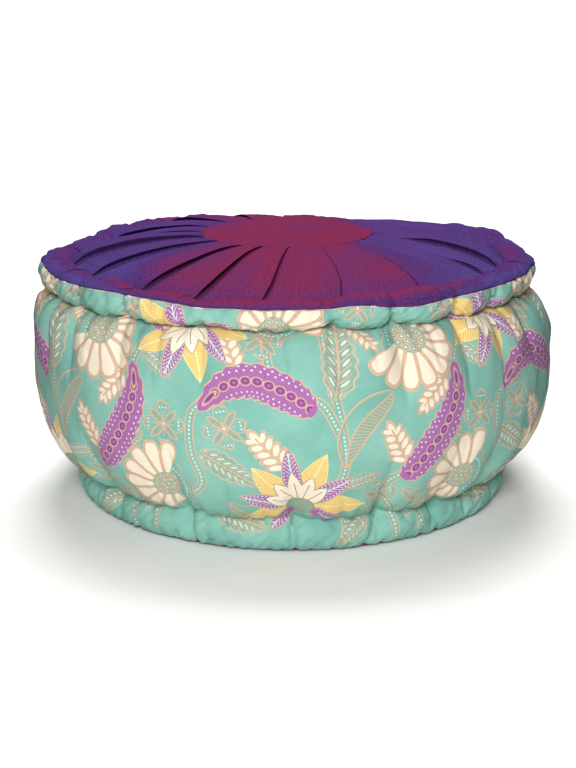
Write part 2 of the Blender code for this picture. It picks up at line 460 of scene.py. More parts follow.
@dataclass
class Lathe:
    """A closed mesh from rows of points that each go right round the cushion.

    around and along are the cloth's own measures at its columns and rows, in millimetres. A ring's last
    row meets its first, and poles are the heights of the points that close the first and last rows.
    """

    rows: Array
    around: Array
    along: Array
    ring: bool = False
    poles: tuple[float, ...] = ()

    def __post_init__(self) -> None:
        """Counts the rows and columns, and the rows of quads."""
        self.count, self.columns = self.rows.shape[:2]
        self.bands = self.count if self.ring else self.count - 1

    def quads(self) -> Array:
        """Corner numbers of every quad, row by row."""
        down, across = np.meshgrid(np.arange(self.bands), np.arange(self.columns), indexing="ij")
        below, beside = (down + 1) % self.count, (across + 1) % self.columns
        corners = ((down, across), (below, across), (below, beside), (down, beside))
        return np.stack([row * self.columns + column for row, column in corners], -1).reshape(-1, 4)

    def cloth(self) -> Array:
        """The cloth's own place at every quad corner: round the cushion, and down it."""
        along = np.append(self.along, self.along[-1])
        upper, left = np.meshgrid(along[: self.bands], self.around[:-1], indexing="ij")
        lower, right = np.meshgrid(along[1 : self.bands + 1], self.around[1:], indexing="ij")
        corners = ((left, upper), (left, lower), (right, lower), (right, upper))
        return np.stack([np.stack(pair, -1) for pair in corners], 2).reshape(-1, 4, 2)

    def mesh(self, name: str, raw: bool = False) -> Mesh:
        """Builds the mesh, with its poles closed by fans.

        Args:
            name: The mesh's name.
            raw: Whether the rows stay as they are, and don't settle.

        Returns:
            The mesh, with faces pointing out and smooth shading.
        """
        points = (self.rows if raw else settled(self.rows)).reshape(-1, 3)
        faces = self.quads().tolist()
        if self.poles:
            first, last = len(points), len(points) + 1
            tips = np.array([(0.0, 0.0, z) for z in self.poles])
            points = np.concatenate([points, tips if raw else settled(tips)])
            base = (self.count - 1) * self.columns
            for column in range(self.columns):
                beside = (column + 1) % self.columns
                faces.append([first, column, beside])
                faces.append([last, base + beside, base + column])
        made = bpy.data.meshes.new(name)
        made.from_pydata(points.tolist(), [], faces)
        made.validate()
        made.shade_smooth()
        return made


def corner_data(mesh: Mesh, name: str, values: Array) -> None:
    """Stores the numbers at each quad corner of a mesh. Other corners hold zeros.

    Args:
        mesh: The mesh.
        name: The layer's name.
        values: Quad after quad, two numbers a corner for a UV map, or three for an attribute.
    """
    wide = values.shape[-1]
    flat = values.reshape(-1, wide)
    full = np.zeros((len(mesh.loops), wide), np.float32)
    full[: len(flat)] = flat
    if wide == 2:
        mesh.uv_layers.new(name=name).data.foreach_set("uv", full.ravel())
    else:
        layer = mesh.attributes.new(name, "FLOAT_VECTOR", "CORNER")
        layer.data.foreach_set("vector", full.ravel())


def point_data(mesh: Mesh, name: str, values: Array) -> None:
    """Stores one number at each point of a mesh. Poles hold the mean.

    Args:
        mesh: The mesh.
        name: The attribute's name.
        values: The numbers, in the order of the points.
    """
    layer = mesh.attributes.new(name, "FLOAT", "POINT")
    full = np.full(len(mesh.vertices), float(np.mean(values)), np.float32)
    full[: values.size] = values.ravel()
    layer.data.foreach_set("value", full)


def linked(name: str, data: bpy.types.ID) -> Thing:
    """Makes an object from a mesh, lamp or camera, at the origin of the scene."""
    made = bpy.data.objects.new(name, data)
    bpy.context.scene.collection.objects.link(made)
    return made


def new_object(name: str, mesh: Mesh, material: Material) -> Thing:
    """Makes an object at the origin from a mesh, with one material."""
    mesh.materials.clear()
    mesh.materials.append(material)
    return linked(name, mesh)


Number = Union["Wire", float]


def applied(operation: str, swapped: bool = False) -> Callable[["Wire", Number], "Wire"]:
    """An operator of Wire, as a method that adds one Math node.

    Args:
        operation: What the node does.
        swapped: Whether the other value comes first.

    Returns:
        The method.
    """

    def method(self: "Wire", other: Number) -> "Wire":
        """Adds the node."""
        return self.board.math(operation, *((other, self) if swapped else (self, other)))

    return method


class Wire:
    """A number in a node tree. Arithmetic on it adds Math nodes, and 0 and 1 are masks."""

    __add__ = __radd__ = applied("ADD")
    __sub__ = applied("SUBTRACT")
    __rsub__ = applied("SUBTRACT", swapped=True)
    __mul__ = __rmul__ = __and__ = applied("MULTIPLY")
    __truediv__ = applied("DIVIDE")
    __pow__ = applied("POWER")
    __lt__ = applied("LESS_THAN")
    __gt__ = applied("GREATER_THAN")
    __or__ = applied("MAXIMUM")

    def __init__(self, board: "Board", socket: Socket) -> None:
        """Takes the node tree's board and an output socket."""
        self.board = board
        self.socket = socket

    def __invert__(self) -> "Wire":
        """Mask of where this doesn't hold."""
        return 1.0 - self

    def __abs__(self) -> "Wire":
        """Absolute value."""
        return self.board.math("ABSOLUTE", self)


class Board:
    """Adds nodes to a node tree, so that a formula reads as one."""

    def __init__(self, tree: Tree) -> None:
        """Takes an empty or new node tree."""
        self.tree = tree

    def node(self, kind: str, feeds: Optional[dict[str, object]] = None, **settings: object) -> Node:
        """Adds a node.

        Args:
            kind: The node's type.
            feeds: What goes into its inputs, by their identifiers.
            settings: Some of its other properties.

        Returns:
            The node.
        """
        made = self.tree.nodes.new(kind)
        for name, value in settings.items():
            setattr(made, name, value)
        sockets = {socket.identifier: socket for socket in made.inputs}
        for name, value in (feeds or {}).items():
            self.join(value, sockets[name])
        return made

    def join(self, value: object, socket: Socket) -> None:
        """Feeds an input socket.

        Args:
            value: A wire or an output to link, or the socket's own value.
            socket: The input.
        """
        if isinstance(value, (Wire, Socket)):
            self.tree.links.new(value.socket if isinstance(value, Wire) else value, socket)
        else:
            socket.default_value = value

    def math(self, operation: str, *values: Number) -> Wire:
        """Adds a Math node.

        Args:
            operation: What it does.
            values: What goes in.

        Returns:
            Its output.
        """
        made = self.node("ShaderNodeMath", operation=operation)
        for value, socket in zip(values, made.inputs):
            self.join(value, socket)
        return Wire(self, made.outputs[0])

    def parts(self, vector: Socket) -> list[Wire]:
        """The three numbers of a vector."""
        return [Wire(self, s) for s in self.node("ShaderNodeSeparateXYZ", {"Vector": vector}).outputs]

    def mix(self, low: object, high: object, share: Number) -> Socket:
        """Adds a Mix node for colours."""
        feeds = {"Factor_Float": share, "A_Color": low, "B_Color": high}
        made = self.node("ShaderNodeMix", feeds, data_type="RGBA")
        return next(s for s in made.outputs if s.identifier == "Result_Color")

    def shaded(self, colour: Socket, fade: Wire) -> Socket:
        """Multiplies a colour by a number."""
        feeds = {"Vector": colour, "Scale": fade}
        return self.node("ShaderNodeVectorMath", feeds, operation="SCALE").outputs[0]

    def noise(
        self, vector: Socket, scale: float, detail: float = 3.0, stretch: Optional[Sequence[float]] = None
    ) -> Wire:
        """Adds a Noise texture.

        Args:
            vector: Where it is read.
            scale: Its scale.
            detail: Its detail.
            stretch: What the vector is first multiplied by, along and across and up.

        Returns:
            The noise, from 0 to 1.
        """
        if stretch:
            vector = self.node("ShaderNodeMapping", {"Vector": vector, "Scale": stretch}).outputs[0]
        feeds = {"Vector": vector, "Scale": scale, "Detail": detail}
        return Wire(self, self.node("ShaderNodeTexNoise", feeds).outputs[0])

    def bump(self, shader: Node, height: Wire, strength: float, distance: float) -> None:
        """Adds a Bump node in front of a shader, with its distance in metres."""
        feeds = {"Strength": strength, "Distance": distance, "Height": height}
        self.join(self.node("ShaderNodeBump", feeds).outputs[0], shader.inputs["Normal"])

    def range(self, value: Wire, low: float, high: float, start: float, end: float) -> Wire:
        """Maps a value from one range to another, and keeps it there.

        Args:
            value: The value.
            low: Start of its range.
            high: End of its range.
            start: What the start becomes.
            end: What the end becomes.

        Returns:
            The mapped value.
        """
        made = self.node("ShaderNodeMapRange")
        for number, socket in zip((value, low, high, start, end), made.inputs):
            self.join(number, socket)
        return Wire(self, made.outputs[0])


def worked(operation: str, *values: Number) -> Wire:
    """Adds a Math node to the tree of the first wire among the values."""
    return next(v.board for v in values if isinstance(v, Wire)).math(operation, *values)


def least(first: Number, second: Number) -> Wire:
    """The smaller of two."""
    return worked("MINIMUM", first, second)


def most(first: Number, second: Number) -> Wire:
    """The larger of two."""
    return worked("MAXIMUM", first, second)


def held(value: Wire, low: float, high: float) -> Wire:
    """The value, kept between two limits."""
    return least(most(value, low), high)


def repeat(value: Wire, pitch: float) -> Wire:
    """The value within its repeat, measured from the repeat's middle."""
    return worked("FLOORED_MODULO", value, pitch) - pitch / 2


def away(x: Wire, y: Wire) -> Wire:
    """Distance from the origin."""
    pair = x.board.node("ShaderNodeCombineXYZ", {"X": x, "Y": y}).outputs[0]
    made = x.board.node("ShaderNodeVectorMath", {"Vector": pair}, operation="LENGTH")
    return Wire(x.board, made.outputs["Value"])


def dot(x: Wire, y: Wire, radius: float) -> Wire:
    """Mask of a round dot about the origin."""
    return away(x, y) < radius


class Ink(Enum):
    """The print's inks, in the order in which they are laid."""

    SAGE = "8ba896"
    YELLOW = "dfbb68"
    PALE = "edda9f"
    PURPLE = "a669a3"
    PLUM = "86487f"
    CREAM = "ecdfca"
    STONE = "9b9578"
    PEACH = "cfae92"
    WHITE = "cbdfd6"


Screens = dict[Ink, Wire]


def fan_of(x: Wire, y: Wire, step: float, each_side: int) -> tuple[Wire, Wire, Wire]:
    """Folds a fan of petals about the x axis onto one petal.

    Args:
        x: Place along the motif's axis.
        y: Place across it.
        step: Angle between petals, in radians.
        each_side: Petals on each side of the middle one.

    Returns:
        The petal's number, and the place along and across it.
    """
    radius = away(x, y)
    angle = worked("ARCTAN2", y, x)
    number = held(worked("ROUND", angle / step), -each_side, each_side)
    rest = angle - number * step
    return number, radius * worked("COSINE", rest), radius * worked("SINE", rest)


def petal_edge(along: Wire, across: Wire, length: Number, width: Number, root: float, tip: float) -> Wire:
    """Depth inside a petal's edge, in millimetres, and below 0 outside it.

    Args:
        along: Place along the petal, from its root.
        across: Place across it.
        length: The petal's length.
        width: Half of its greatest width.
        root: How fast it narrows at the root: more is more pointed.
        tip: How fast it narrows at the tip.

    Returns:
        The depth.
    """
    share = held(along / length, 0.0, 1.0)
    full = (root + tip) ** (root + tip) / (root**root * tip**tip)
    half = (share**root) * ((1.0 - share) ** tip) * full * width
    return half - abs(across) - 0.02


class Motif:
    """A shape of the print. frame is the box that it fills, in millimetres along and across its axis."""

    frame: Frame
    bends: bool = True

    def screens(self, x: Wire, y: Wire) -> Screens:
        """Draws the motif.

        Args:
            x: Place along its axis, in millimetres of cloth.
            y: Place across it.

        Returns:
            The mask of each ink.
        """
        raise NotImplementedError

    def group(self) -> Tree:
        """The motif's node group, with a place going in and a mask of each ink coming out."""
        tree = bpy.data.node_groups.new(type(self).__name__.lower(), "ShaderNodeTree")
        for name in ("Along", "Across"):
            tree.interface.new_socket(name, in_out="INPUT", socket_type="NodeSocketFloat")
        board = Board(tree)
        given = board.node("NodeGroupInput")
        x, y = Wire(board, given.outputs[0]), Wire(board, given.outputs[1])
        made = self.screens(x, y)
        for ink in made:
            tree.interface.new_socket(ink.name, in_out="OUTPUT", socket_type="NodeSocketFloat")
        out = board.node("NodeGroupOutput")
        for wire, socket in zip(made.values(), out.inputs):
            board.join(wire, socket)
        return tree


@dataclass(frozen=True)
class Daisy(Motif):
    """Long cream petals on one side of an eye of small rings, and a dotted frill on its other side."""

    frame: Frame = (-30, 50, -50, 50)
    eye: float = 12.0
    step: float = math.radians(25)
    petal: float = 27.0
    half: float = 6.9
    frill: float = 23.0

    def screens(self, x: Wire, y: Wire) -> Screens:
        """Petals, frill and eye."""
        number, along, across = fan_of(x, y, self.step, 4)
        radius = away(x, y)
        angle = worked("ARCTAN2", y, x)
        long = number * 1.9 + self.petal - abs(number) * 0.8
        edge = petal_edge(along - 9.0, across, long, self.half, 0.75, 0.30)
        between = along * math.tan(self.step / 2) - abs(across) + 0.15
        edge = least(edge, between)
        petal = edge > 0.0
        inner = petal_edge(along - 10.5, across, long - 4.0, self.half - 1.8, 0.7, 0.3)
        core = least(inner, between - 1.5) > 0.0
        behind = abs(angle) > self.step * 4.35
        lobes = abs(worked("SINE", angle * 3.6 + 0.6)) * 5.0 + self.frill - 4.0
        rim = lobes - radius
        frill = (rim > 0.0) & behind
        bead = dot(repeat(angle, 0.19) * 16.0, radius - 16.5, 0.85) & behind
        eye = radius < self.eye
        rings = self.rings(x, y, 11, self.eye - 2.9, 2.25) | self.rings(x, y, 6, 4.5, 1.9)
        seeds = self.seeds(x, y, 11, self.eye - 2.9) | self.seeds(x, y, 6, 4.5) | (radius < 1.0)
        return {
            Ink.SAGE: ((rim > 0.9) & (rim < 2.0) & behind) | eye,
            Ink.CREAM: core & ~eye & ~frill,
            Ink.PEACH: ((((rim < 0.9) & frill) | (petal & ~core & ~frill)) & ~eye) | rings,
            Ink.WHITE: (bead & ~eye & frill) | seeds,
        }

    @staticmethod
    def rings(x: Wire, y: Wire, count: int, radius: float, size: float) -> Wire:
        """Mask of a circle of small outlined rings."""
        _, along, across = fan_of(x, y, TURN / count, count)
        return abs(away(along - radius, across) - size) < 0.4

    @staticmethod
    def seeds(x: Wire, y: Wire, count: int, radius: float) -> Wire:
        """Mask of a circle of small dots."""
        _, along, across = fan_of(x, y, TURN / count, count)
        return dot(along - radius, across, 0.75)


@dataclass(frozen=True)
class Blossom(Motif):
    """A lotus: pointed purple and yellow petals in turn, small cream ones over them, and a bud."""

    frame: Frame = (-37, 50, -47, 47)
    step: float = math.radians(66)
    petal: float = 45.0
    inner: float = 29.0

    def screens(self, x: Wire, y: Wire) -> Screens:
        """Outer petals with veins and dots, inner petals and bud."""
        number, along, across = fan_of(x, y, self.step, 2)
        bowed = across + worked("SINE", along / 14.0) * 1.4 - 1.0
        long = self.petal - abs(number) * 5.0
        edge = petal_edge(along - 3.0, bowed, long, 6.9, 0.9, 0.95)
        purple = edge > 0.0
        middle = abs(bowed)
        stem = (middle < 0.45) & (along > 15.0)
        rib = (repeat(along - middle * 1.4, 3.4) > 0.95) & (middle < 3.2) & (edge > 2.4)
        dots = dot(repeat(along, 2.6), edge - 1.9, 0.58)
        half = self.step / 2
        turned_x = x * math.cos(half) + y * math.sin(half)
        turned_y = y * math.cos(half) - x * math.sin(half)
        other, far, side = fan_of(turned_x, turned_y, self.step, 2)
        curled = side + worked("SINE", far / 16.0) * 2.2 - 1.4
        wide = petal_edge(far - 2.0, curled, self.petal - 1.0, 9.6, 0.72, 1.0)
        yellow = (wide > 0.0) & (other > -2.5) & (other < 1.5)
        hatch = (repeat(far - abs(curled) * 1.1, 2.1) > 0.4) & (wide > 1.2)
        pale_stem = abs(curled) < 0.5
        count, root, near = fan_of(x, y, self.step * 0.45, 2)
        edge_in = petal_edge(root, near, self.inner - abs(count) * 2.0, 5.6, 0.8, 0.85)
        inner = edge_in > 0.0
        bud_edge = 7.6 - away(x + 1.5, y * 0.75)
        bud = bud_edge > 0.0
        shown = ~inner & ~bud
        open_inner = inner & ~bud
        line = (abs(near) < 0.35) & (root < 20.0)
        swirl = abs(worked("SINE", away(x - 3.0, y * 0.8 - 3.0) * 1.5)) < 0.3
        return {
            Ink.SAGE: bud,
            Ink.YELLOW: yellow & shown,
            Ink.PALE: (hatch | pale_stem | (wide < 0.7)) & yellow & shown & ~purple,
            Ink.PURPLE: purple & shown,
            Ink.CREAM: open_inner,
            Ink.STONE: (((edge_in < 0.7) | line) & open_inner) | (((bud_edge < 0.7) | swirl) & bud),
            Ink.PEACH: (edge < 0.9) & purple & shown,
            Ink.WHITE: (((stem | rib) & (edge > 1.9) & (along > 15.0)) | dots) & purple & shown,
        }


@dataclass(frozen=True)
class PurpleLeaf(Motif):
    """A long, toothed purple leaf with rows of dots, and a chain of rings down its middle."""

    frame: Frame = (-2, 94, -18, 18)
    length: float = 90.0
    half: float = 13.0
    link: float = 7.6

    def screens(self, x: Wire, y: Wire) -> Screens:
        """Leaf, teeth, dots and chain."""
        middle = abs(y)
        tooth = worked("FRACT", (x + middle * 0.5 + 3.0) / 7.6)
        hook = least(tooth, (1.0 - tooth) * 3.0) * 2.2 - 1.7
        edge = petal_edge(x, y, self.length, self.half, 0.34, 0.56) + hook
        leaf = (edge > 0.0) & (x > 0.0) & (x < self.length)
        on_chain = (x > 4.0) & (x < self.length - 15.0)
        ring = away(repeat(x, self.link) / 4.1, y / 3.3)
        chain = (abs(ring - 0.88) < 0.10) & on_chain
        end = away((x - self.length + 13.0) / 7.0, y / 2.2)
        chain = chain | ((end < 1.0) & (end > 0.70))
        line = worked("FLOOR", middle / 2.7)
        dots = dot(repeat(x + line * 1.7, 4.2), repeat(middle, 2.7), 0.66)
        return {
            Ink.PURPLE: leaf,
            Ink.PLUM: (((abs(ring - 0.48) < 0.15) & on_chain) | (end < 0.45)) & leaf,
            Ink.PEACH: ((edge < 1.0) | chain) & leaf,
            Ink.WHITE: dots & leaf & (middle > 4.8) & (edge > 1.7),
        }


@dataclass(frozen=True)
class Sprig(Motif):
    """A cream sprig: plump lobes to the left and right of a stalk, in turn, all edged in peach."""

    frame: Frame = (-4, 44, -13, 13)
    length: float = 40.0
    pitch: float = 7.0
    lean: float = math.radians(50)

    def screens(self, x: Wire, y: Wire) -> Screens:
        """Lobes with their edges, and the stalk."""
        middle = abs(y)
        side = (y > 0.0) * (self.pitch / 2)
        foot = x - middle / math.tan(self.lean) + side
        share = repeat(foot, self.pitch)
        across = share * math.sin(self.lean)
        along = middle / math.sin(self.lean) + share * math.cos(self.lean)
        reach = held(1.0 - (x / self.length) ** 2.0 * 0.4, 0.3, 1.0) * 6.6
        edge = (1.0 - away((along - reach) / reach, across / 2.9)) * 2.9
        edge = edge - ((foot < 0.0) | (foot > self.length - self.pitch)) * 9.0
        tip = (1.0 - away((x - self.length + 6.0) / 6.6, y / 3.2)) * 3.2
        edge = most(edge, tip)
        stalk = (middle < 0.7) & (x < self.length - 6.0) & (x > -4.0)
        return {
            Ink.CREAM: edge > 0.7,
            Ink.PEACH: ((edge > -0.9) & (edge < 0.7)) | stalk,
        }


@dataclass(frozen=True)
class LineFlower(Motif):
    """A flower drawn in outline: dotted petals, and narrow sepals between them."""

    frame: Frame = (-20, 20, -20, 20)
    radius: float = 17.5
    petals: int = 4

    def screens(self, x: Wire, y: Wire) -> Screens:
        """Petals, sepals, dots and centre."""
        step = TURN / self.petals
        number, along, across = fan_of(x, y, step, self.petals)
        radius = away(x, y)
        rest = worked("ARCTAN2", across, along)
        grown = self.radius - abs(number) * 1.0
        lobe = 1.0 - abs(rest / 0.66) ** 2.4 * 0.75
        notch = most(1.0 - abs(rest - 0.12) / 0.14, 0.0) * 1.6
        edge = (grown * lobe - notch - radius) * 0.8
        petal = (edge > 0.0) & (abs(rest) < 0.70)
        _, root, side = fan_of(x * 0.707 + y * 0.707, y * 0.707 - x * 0.707, step, self.petals)
        sepal = petal_edge(root, side, self.radius * 0.86, 2.9, 0.7, 0.8)
        vein = (abs(across) < 0.4) & (along > 3.0) & (along < self.radius * 0.5) & petal
        eye = abs(radius - 2.7) < 0.45
        dots = dot(along - self.radius * 0.68, repeat(across + 1.3, 2.6), 0.72)
        return {
            Ink.SAGE: ((edge > 1.1) & (edge < 2.2) & petal) | (sepal > 0.0),
            Ink.PEACH: ((((edge < 1.1) | vein) & petal) | ((sepal > 0.0) & (sepal < 1.0)) | eye),
            Ink.WHITE: (dots & petal & (edge > 1.6)) | (radius < 1.1),
        }


@dataclass(frozen=True)
class DottedLeaf(Motif):
    """A wavy leaf drawn in outline, with a vein, slanting ribs and long dots between them."""

    frame: Frame = (-2, 49, -13, 13)
    length: float = 48.0
    half: float = 10.5

    def screens(self, x: Wire, y: Wire) -> Screens:
        """Leaf, ribs and dots."""
        middle = abs(y)
        wave = worked("SINE", x * 0.9) * 0.7
        edge = petal_edge(x, y, self.length, self.half, 0.55, 0.85) + wave - 0.7
        leaf = (edge > 0.0) & (x > 0.0) & (x < self.length)
        slanted = x - middle * 1.1
        rib = (abs(repeat(slanted, 5.4)) < 0.45) & (middle < self.half * 0.62)
        dots = dot(repeat(slanted + 2.7, 5.4) / 1.1, (middle - self.half * 0.36) / 2.2, 0.9)
        return {
            Ink.SAGE: leaf & (edge > 1.9),
            Ink.PEACH: (((edge < 1.1) | (middle < 0.6)) | (rib & (edge > 2.0))) & leaf,
            Ink.WHITE: dots & leaf & (edge > 2.0),
        }


@dataclass(frozen=True)
class CombLeaf(Motif):
    """A curved leaf drawn in outline, with fine ribs on one side of its vein."""

    frame: Frame = (-2, 61, -13, 13)
    length: float = 60.0
    half: float = 10.5

    def screens(self, x: Wire, y: Wire) -> Screens:
        """Leaf and comb."""
        edge = petal_edge(x, y, self.length, self.half, 0.75, 0.6)
        leaf = edge > 0.0
        comb = (repeat(x - y * 0.5, 2.6) > 0.65) & (y > 0.6) & (edge > 1.0)
        return {
            Ink.SAGE: leaf & (((edge > 1.1) & (edge < 2.2)) | (y > 0.0)),
            Ink.PEACH: ((edge < 1.1) | comb | (abs(y) < 0.5)) & leaf,
        }


@dataclass(frozen=True)
class Vine(Motif):
    """A stem drawn as two lines, with a row of dots between them."""

    frame: Frame = (0, 400, -5, 5)
    bends: bool = False
    half: float = 3.4
    pitch: float = 3.0

    def screens(self, x: Wire, y: Wire) -> Screens:
        """Stem, lines and dots."""
        edge = self.half - abs(y)
        return {
            Ink.SAGE: (edge > 1.0) & (edge < 1.8),
            Ink.PEACH: (edge > 0.0) & (edge < 1.0),
            Ink.WHITE: dot(repeat(x, self.pitch), y, 0.8),
        }


@dataclass(frozen=True)
class Printed:
    """Where a motif lies on the cloth: from its root towards its tip, or along a curve of more points.

    Points are in millimetres of cloth: along the repeat, and down from the top seam.
    """

    path: tuple[Point2, ...]
    scale: float = 1.0


class Pass(NamedTuple):
    """One motif wherever it is printed. Each pass is printed over the ones before it."""

    motif: Motif
    places: tuple[Printed, ...]

    @property
    def attribute(self) -> str:
        """Name of the mesh attribute that holds the pass."""
        return "print_" + type(self.motif).__name__.lower()


LAYOUT = (
    Pass(Vine(), (
        Printed(((-84, 34), (-104, 44), (-114, 58), (-118, 76))),
        Printed(((-58, 80), (-70, 92), (-71, 118), (-65, 142), (-78, 156))),
        Printed(((22, -6), (25, 30), (27, 64), (34, 98), (37, 128), (28, 152))),
        Printed(((10, 78), (22, 84), (33, 104))),
        Printed(((-13, 30), (-15, 48), (-13, 64))),
        Printed(((86, 132), (74, 146), (72, 160), (84, 178), (90, 206))),
        Printed(((36, 176), (44, 190), (42, 206))),
        Printed(((-112, 166), (-122, 182), (-120, 206))),
    )),
    Pass(CombLeaf(), (
        Printed(((37, 128), (40, 108), (50, 92), (70, 76))),
        Printed(((-48, 158), (-36, 168), (-18, 170), (2, 176))),
        Printed(((-152, 150), (-140, 158), (-124, 158), (-108, 170))),
    )),
    Pass(DottedLeaf(), (
        Printed(((-64, 118), (-18, 145))),
        Printed(((29, 80), (34, 58), (37, 20))),
        Printed(((-106, 50), (-84, 68)), 0.6),
        Printed(((38, 142), (66, 136)), 0.6),
        Printed(((-66, 182), (-20, 194)), 1.0),
        Printed(((64, 186), (38, 206)), 0.75),
        Printed(((108, 128), (124, 112)), 0.6),
    )),
    Pass(LineFlower(), (
        Printed(((-91, 101), (-91, 84))),
        Printed(((-46, 100), (-50, 84))),
        Printed(((66, 158), (62, 142)), 0.95),
        Printed(((50, 2), (52, -14)), 0.8),
        Printed(((-116, 8), (-110, -8)), 0.85),
        Printed(((108, 178), (100, 190)), 0.9),
        Printed(((-18, 36), (-16, 20)), 1.0),
    )),
    Pass(Sprig(), (
        Printed(((-37, 57), (-49, 24)), 0.84),
        Printed(((-2, 130), (-31, 99)), 0.98),
        Printed(((84, 130), (66, 97)), 0.92),
        Printed(((112, 68), (88, 94)), 0.82),
        Printed(((44, 22), (64, 50)), 0.74),
    )),
    Pass(Daisy(), (
        Printed(((89, 40), (106, 60))),
        Printed(((-9, 16), (-4, -4)), 1.0),
        Printed(((-96, 151), (-118, 150)), 0.96),
    )),
    Pass(PurpleLeaf(), (
        Printed(((16, 88), (-4, 74), (-26, 66), (-48, 72), (-66, 90))),
        Printed(((82, 142), (100, 122), (114, 101), (121, 80), (119, 58))),
    )),
    Pass(Blossom(), (
        Printed(((-72, 25), (-78, 40))),
        Printed(((6, 162), (3, 148)), 1.06),
    )),
)


class Spine:
    """A smooth curve on the cloth, which gives a motif its own bent coordinates."""

    def __init__(self, points: Sequence[Point2]) -> None:
        """Reads a Catmull-Rom curve at short steps.

        Args:
            points: The points that it passes through.
        """
        knots = np.array(points, float)
        ends = np.concatenate([[2 * knots[0] - knots[1]], knots, [2 * knots[-1] - knots[-2]]])
        share = np.linspace(0, 1, 12, endpoint=False)[:, None]
        parts = []
        for a, b, c, d in zip(ends, ends[1:], ends[2:], ends[3:]):
            bend = 2 * a - 5 * b + 4 * c - d
            twist = 3 * b - a - 3 * c + d
            parts.append(0.5 * (2 * b + (c - a) * share + bend * share**2 + twist * share**3))
        self.line = np.concatenate([*parts, knots[-1:]])
        steps = np.diff(self.line, axis=0)
        self.lengths = np.hypot(steps[:, 0], steps[:, 1])
        self.ways = steps / self.lengths[:, None]
        self.starts = np.concatenate([[0.0], np.cumsum(self.lengths)[:-1]])
        self.length = float(self.lengths.sum())

    def straight(self, places: Array) -> Array:
        """Distance along and across the straight line from the first point to the last.

        Args:
            places: Places on the cloth.

        Returns:
            Along and across, in millimetres.
        """
        way = self.line[-1] - self.line[0]
        way = way / np.hypot(*way)
        gone = places - self.line[0]
        return np.stack([gone @ way, gone[..., 1] * way[0] - gone[..., 0] * way[1]], -1)

    def local(self, places: Array) -> Array:
        """Distance along and across the curve for each place.

        Args:
            places: Places on the cloth, with two numbers in the last axis.

        Returns:
            Along and across, in millimetres. Past the ends the curve runs on straight.
        """
        flat = places.reshape(-1, 1, 2) - self.line[None, :-1]
        along = np.einsum("nki,ki->nk", flat, self.ways)
        across = flat[..., 1] * self.ways[:, 0] - flat[..., 0] * self.ways[:, 1]
        low = np.zeros(len(self.lengths))
        high = self.lengths.copy()
        low[0], high[-1] = -30.0, high[-1] + 30.0
        over = along - np.clip(along, low, high)
        best = np.argmin(over**2 + across**2, axis=1)
        pick = np.arange(len(best))
        result = np.stack([along[pick, best] + self.starts[best], across[pick, best]], -1)
        return result.reshape(places.shape)


@dataclass
class PrintPlan:
    """Lays the repeat of the print on the cloth, and stores each motif's own place at each corner."""

    repeat: float = 235.7
    layout: tuple[Pass, ...] = LAYOUT

    def lay(self, mesh: Mesh, cloth: Array) -> None:
        """Stores every pass on a mesh.

        Args:
            mesh: The mesh of the printed cloth.
            cloth: Places on the cloth at every quad corner, in millimetres.
        """
        for one in self.layout:
            values = np.zeros((*cloth.shape[:2], 3))
            for item in one.places:
                self.put(one.motif, item, cloth, values)
            corner_data(mesh, one.attribute, values)

    def put(self, motif: Motif, item: Printed, cloth: Array, values: Array) -> None:
        """Writes the repeats of a motif into a pass.

        Args:
            motif: The motif.
            item: Where it lies in the repeat.
            cloth: Places on the cloth at every quad corner.
            values: The pass's numbers: along, across, and 1 where there is a motif.
        """
        low_x, high_x, low_y, high_y = motif.frame
        curve = Spine(item.path)
        bends = len(item.path) > 2
        middles = cloth.mean(axis=1)
        reach = 60.0 + curve.length / 2
        first = math.floor((middles[:, 0].min() - reach) / self.repeat) - 1
        last = math.ceil((middles[:, 0].max() + reach) / self.repeat) + 1
        scale = item.scale
        if bends and motif.bends:
            scale = curve.length / getattr(motif, "length")
        if bends and not motif.bends:
            high_x = curve.length
        for number in range(first, last + 1):
            move = np.array([number * self.repeat, 0.0])
            centre = curve.line.mean(axis=0) + move
            near = np.nonzero(np.all(np.abs(middles - centre) < reach, axis=1))[0]
            if not len(near):
                continue
            local = curve.local(cloth[near] - move) if bends else curve.straight(cloth[near] - move)
            local = local / scale
            x, y = local.mean(axis=1).T
            inside = (x > low_x) & (x < high_x) & (y > low_y) & (y < high_y)
            chosen = near[inside]
            values[chosen, :, :2] = local[inside]
            values[chosen, :, 2] = 1.0


def principled(name: str, inputs: dict[str, object]) -> tuple[Material, Board, Node]:
    """Makes a material.

    Args:
        name: Its name.
        inputs: Values of its Principled shader's inputs, by their names.

    Returns:
        The material, its board and its shader.
    """
    made = bpy.data.materials.new(name)
    made.use_nodes = True
    shader = made.node_tree.nodes["Principled BSDF"]
    for socket, value in {"Metallic": 0.0, **inputs}.items():
        shader.inputs[socket].default_value = value
    return made, Board(made.node_tree), shader


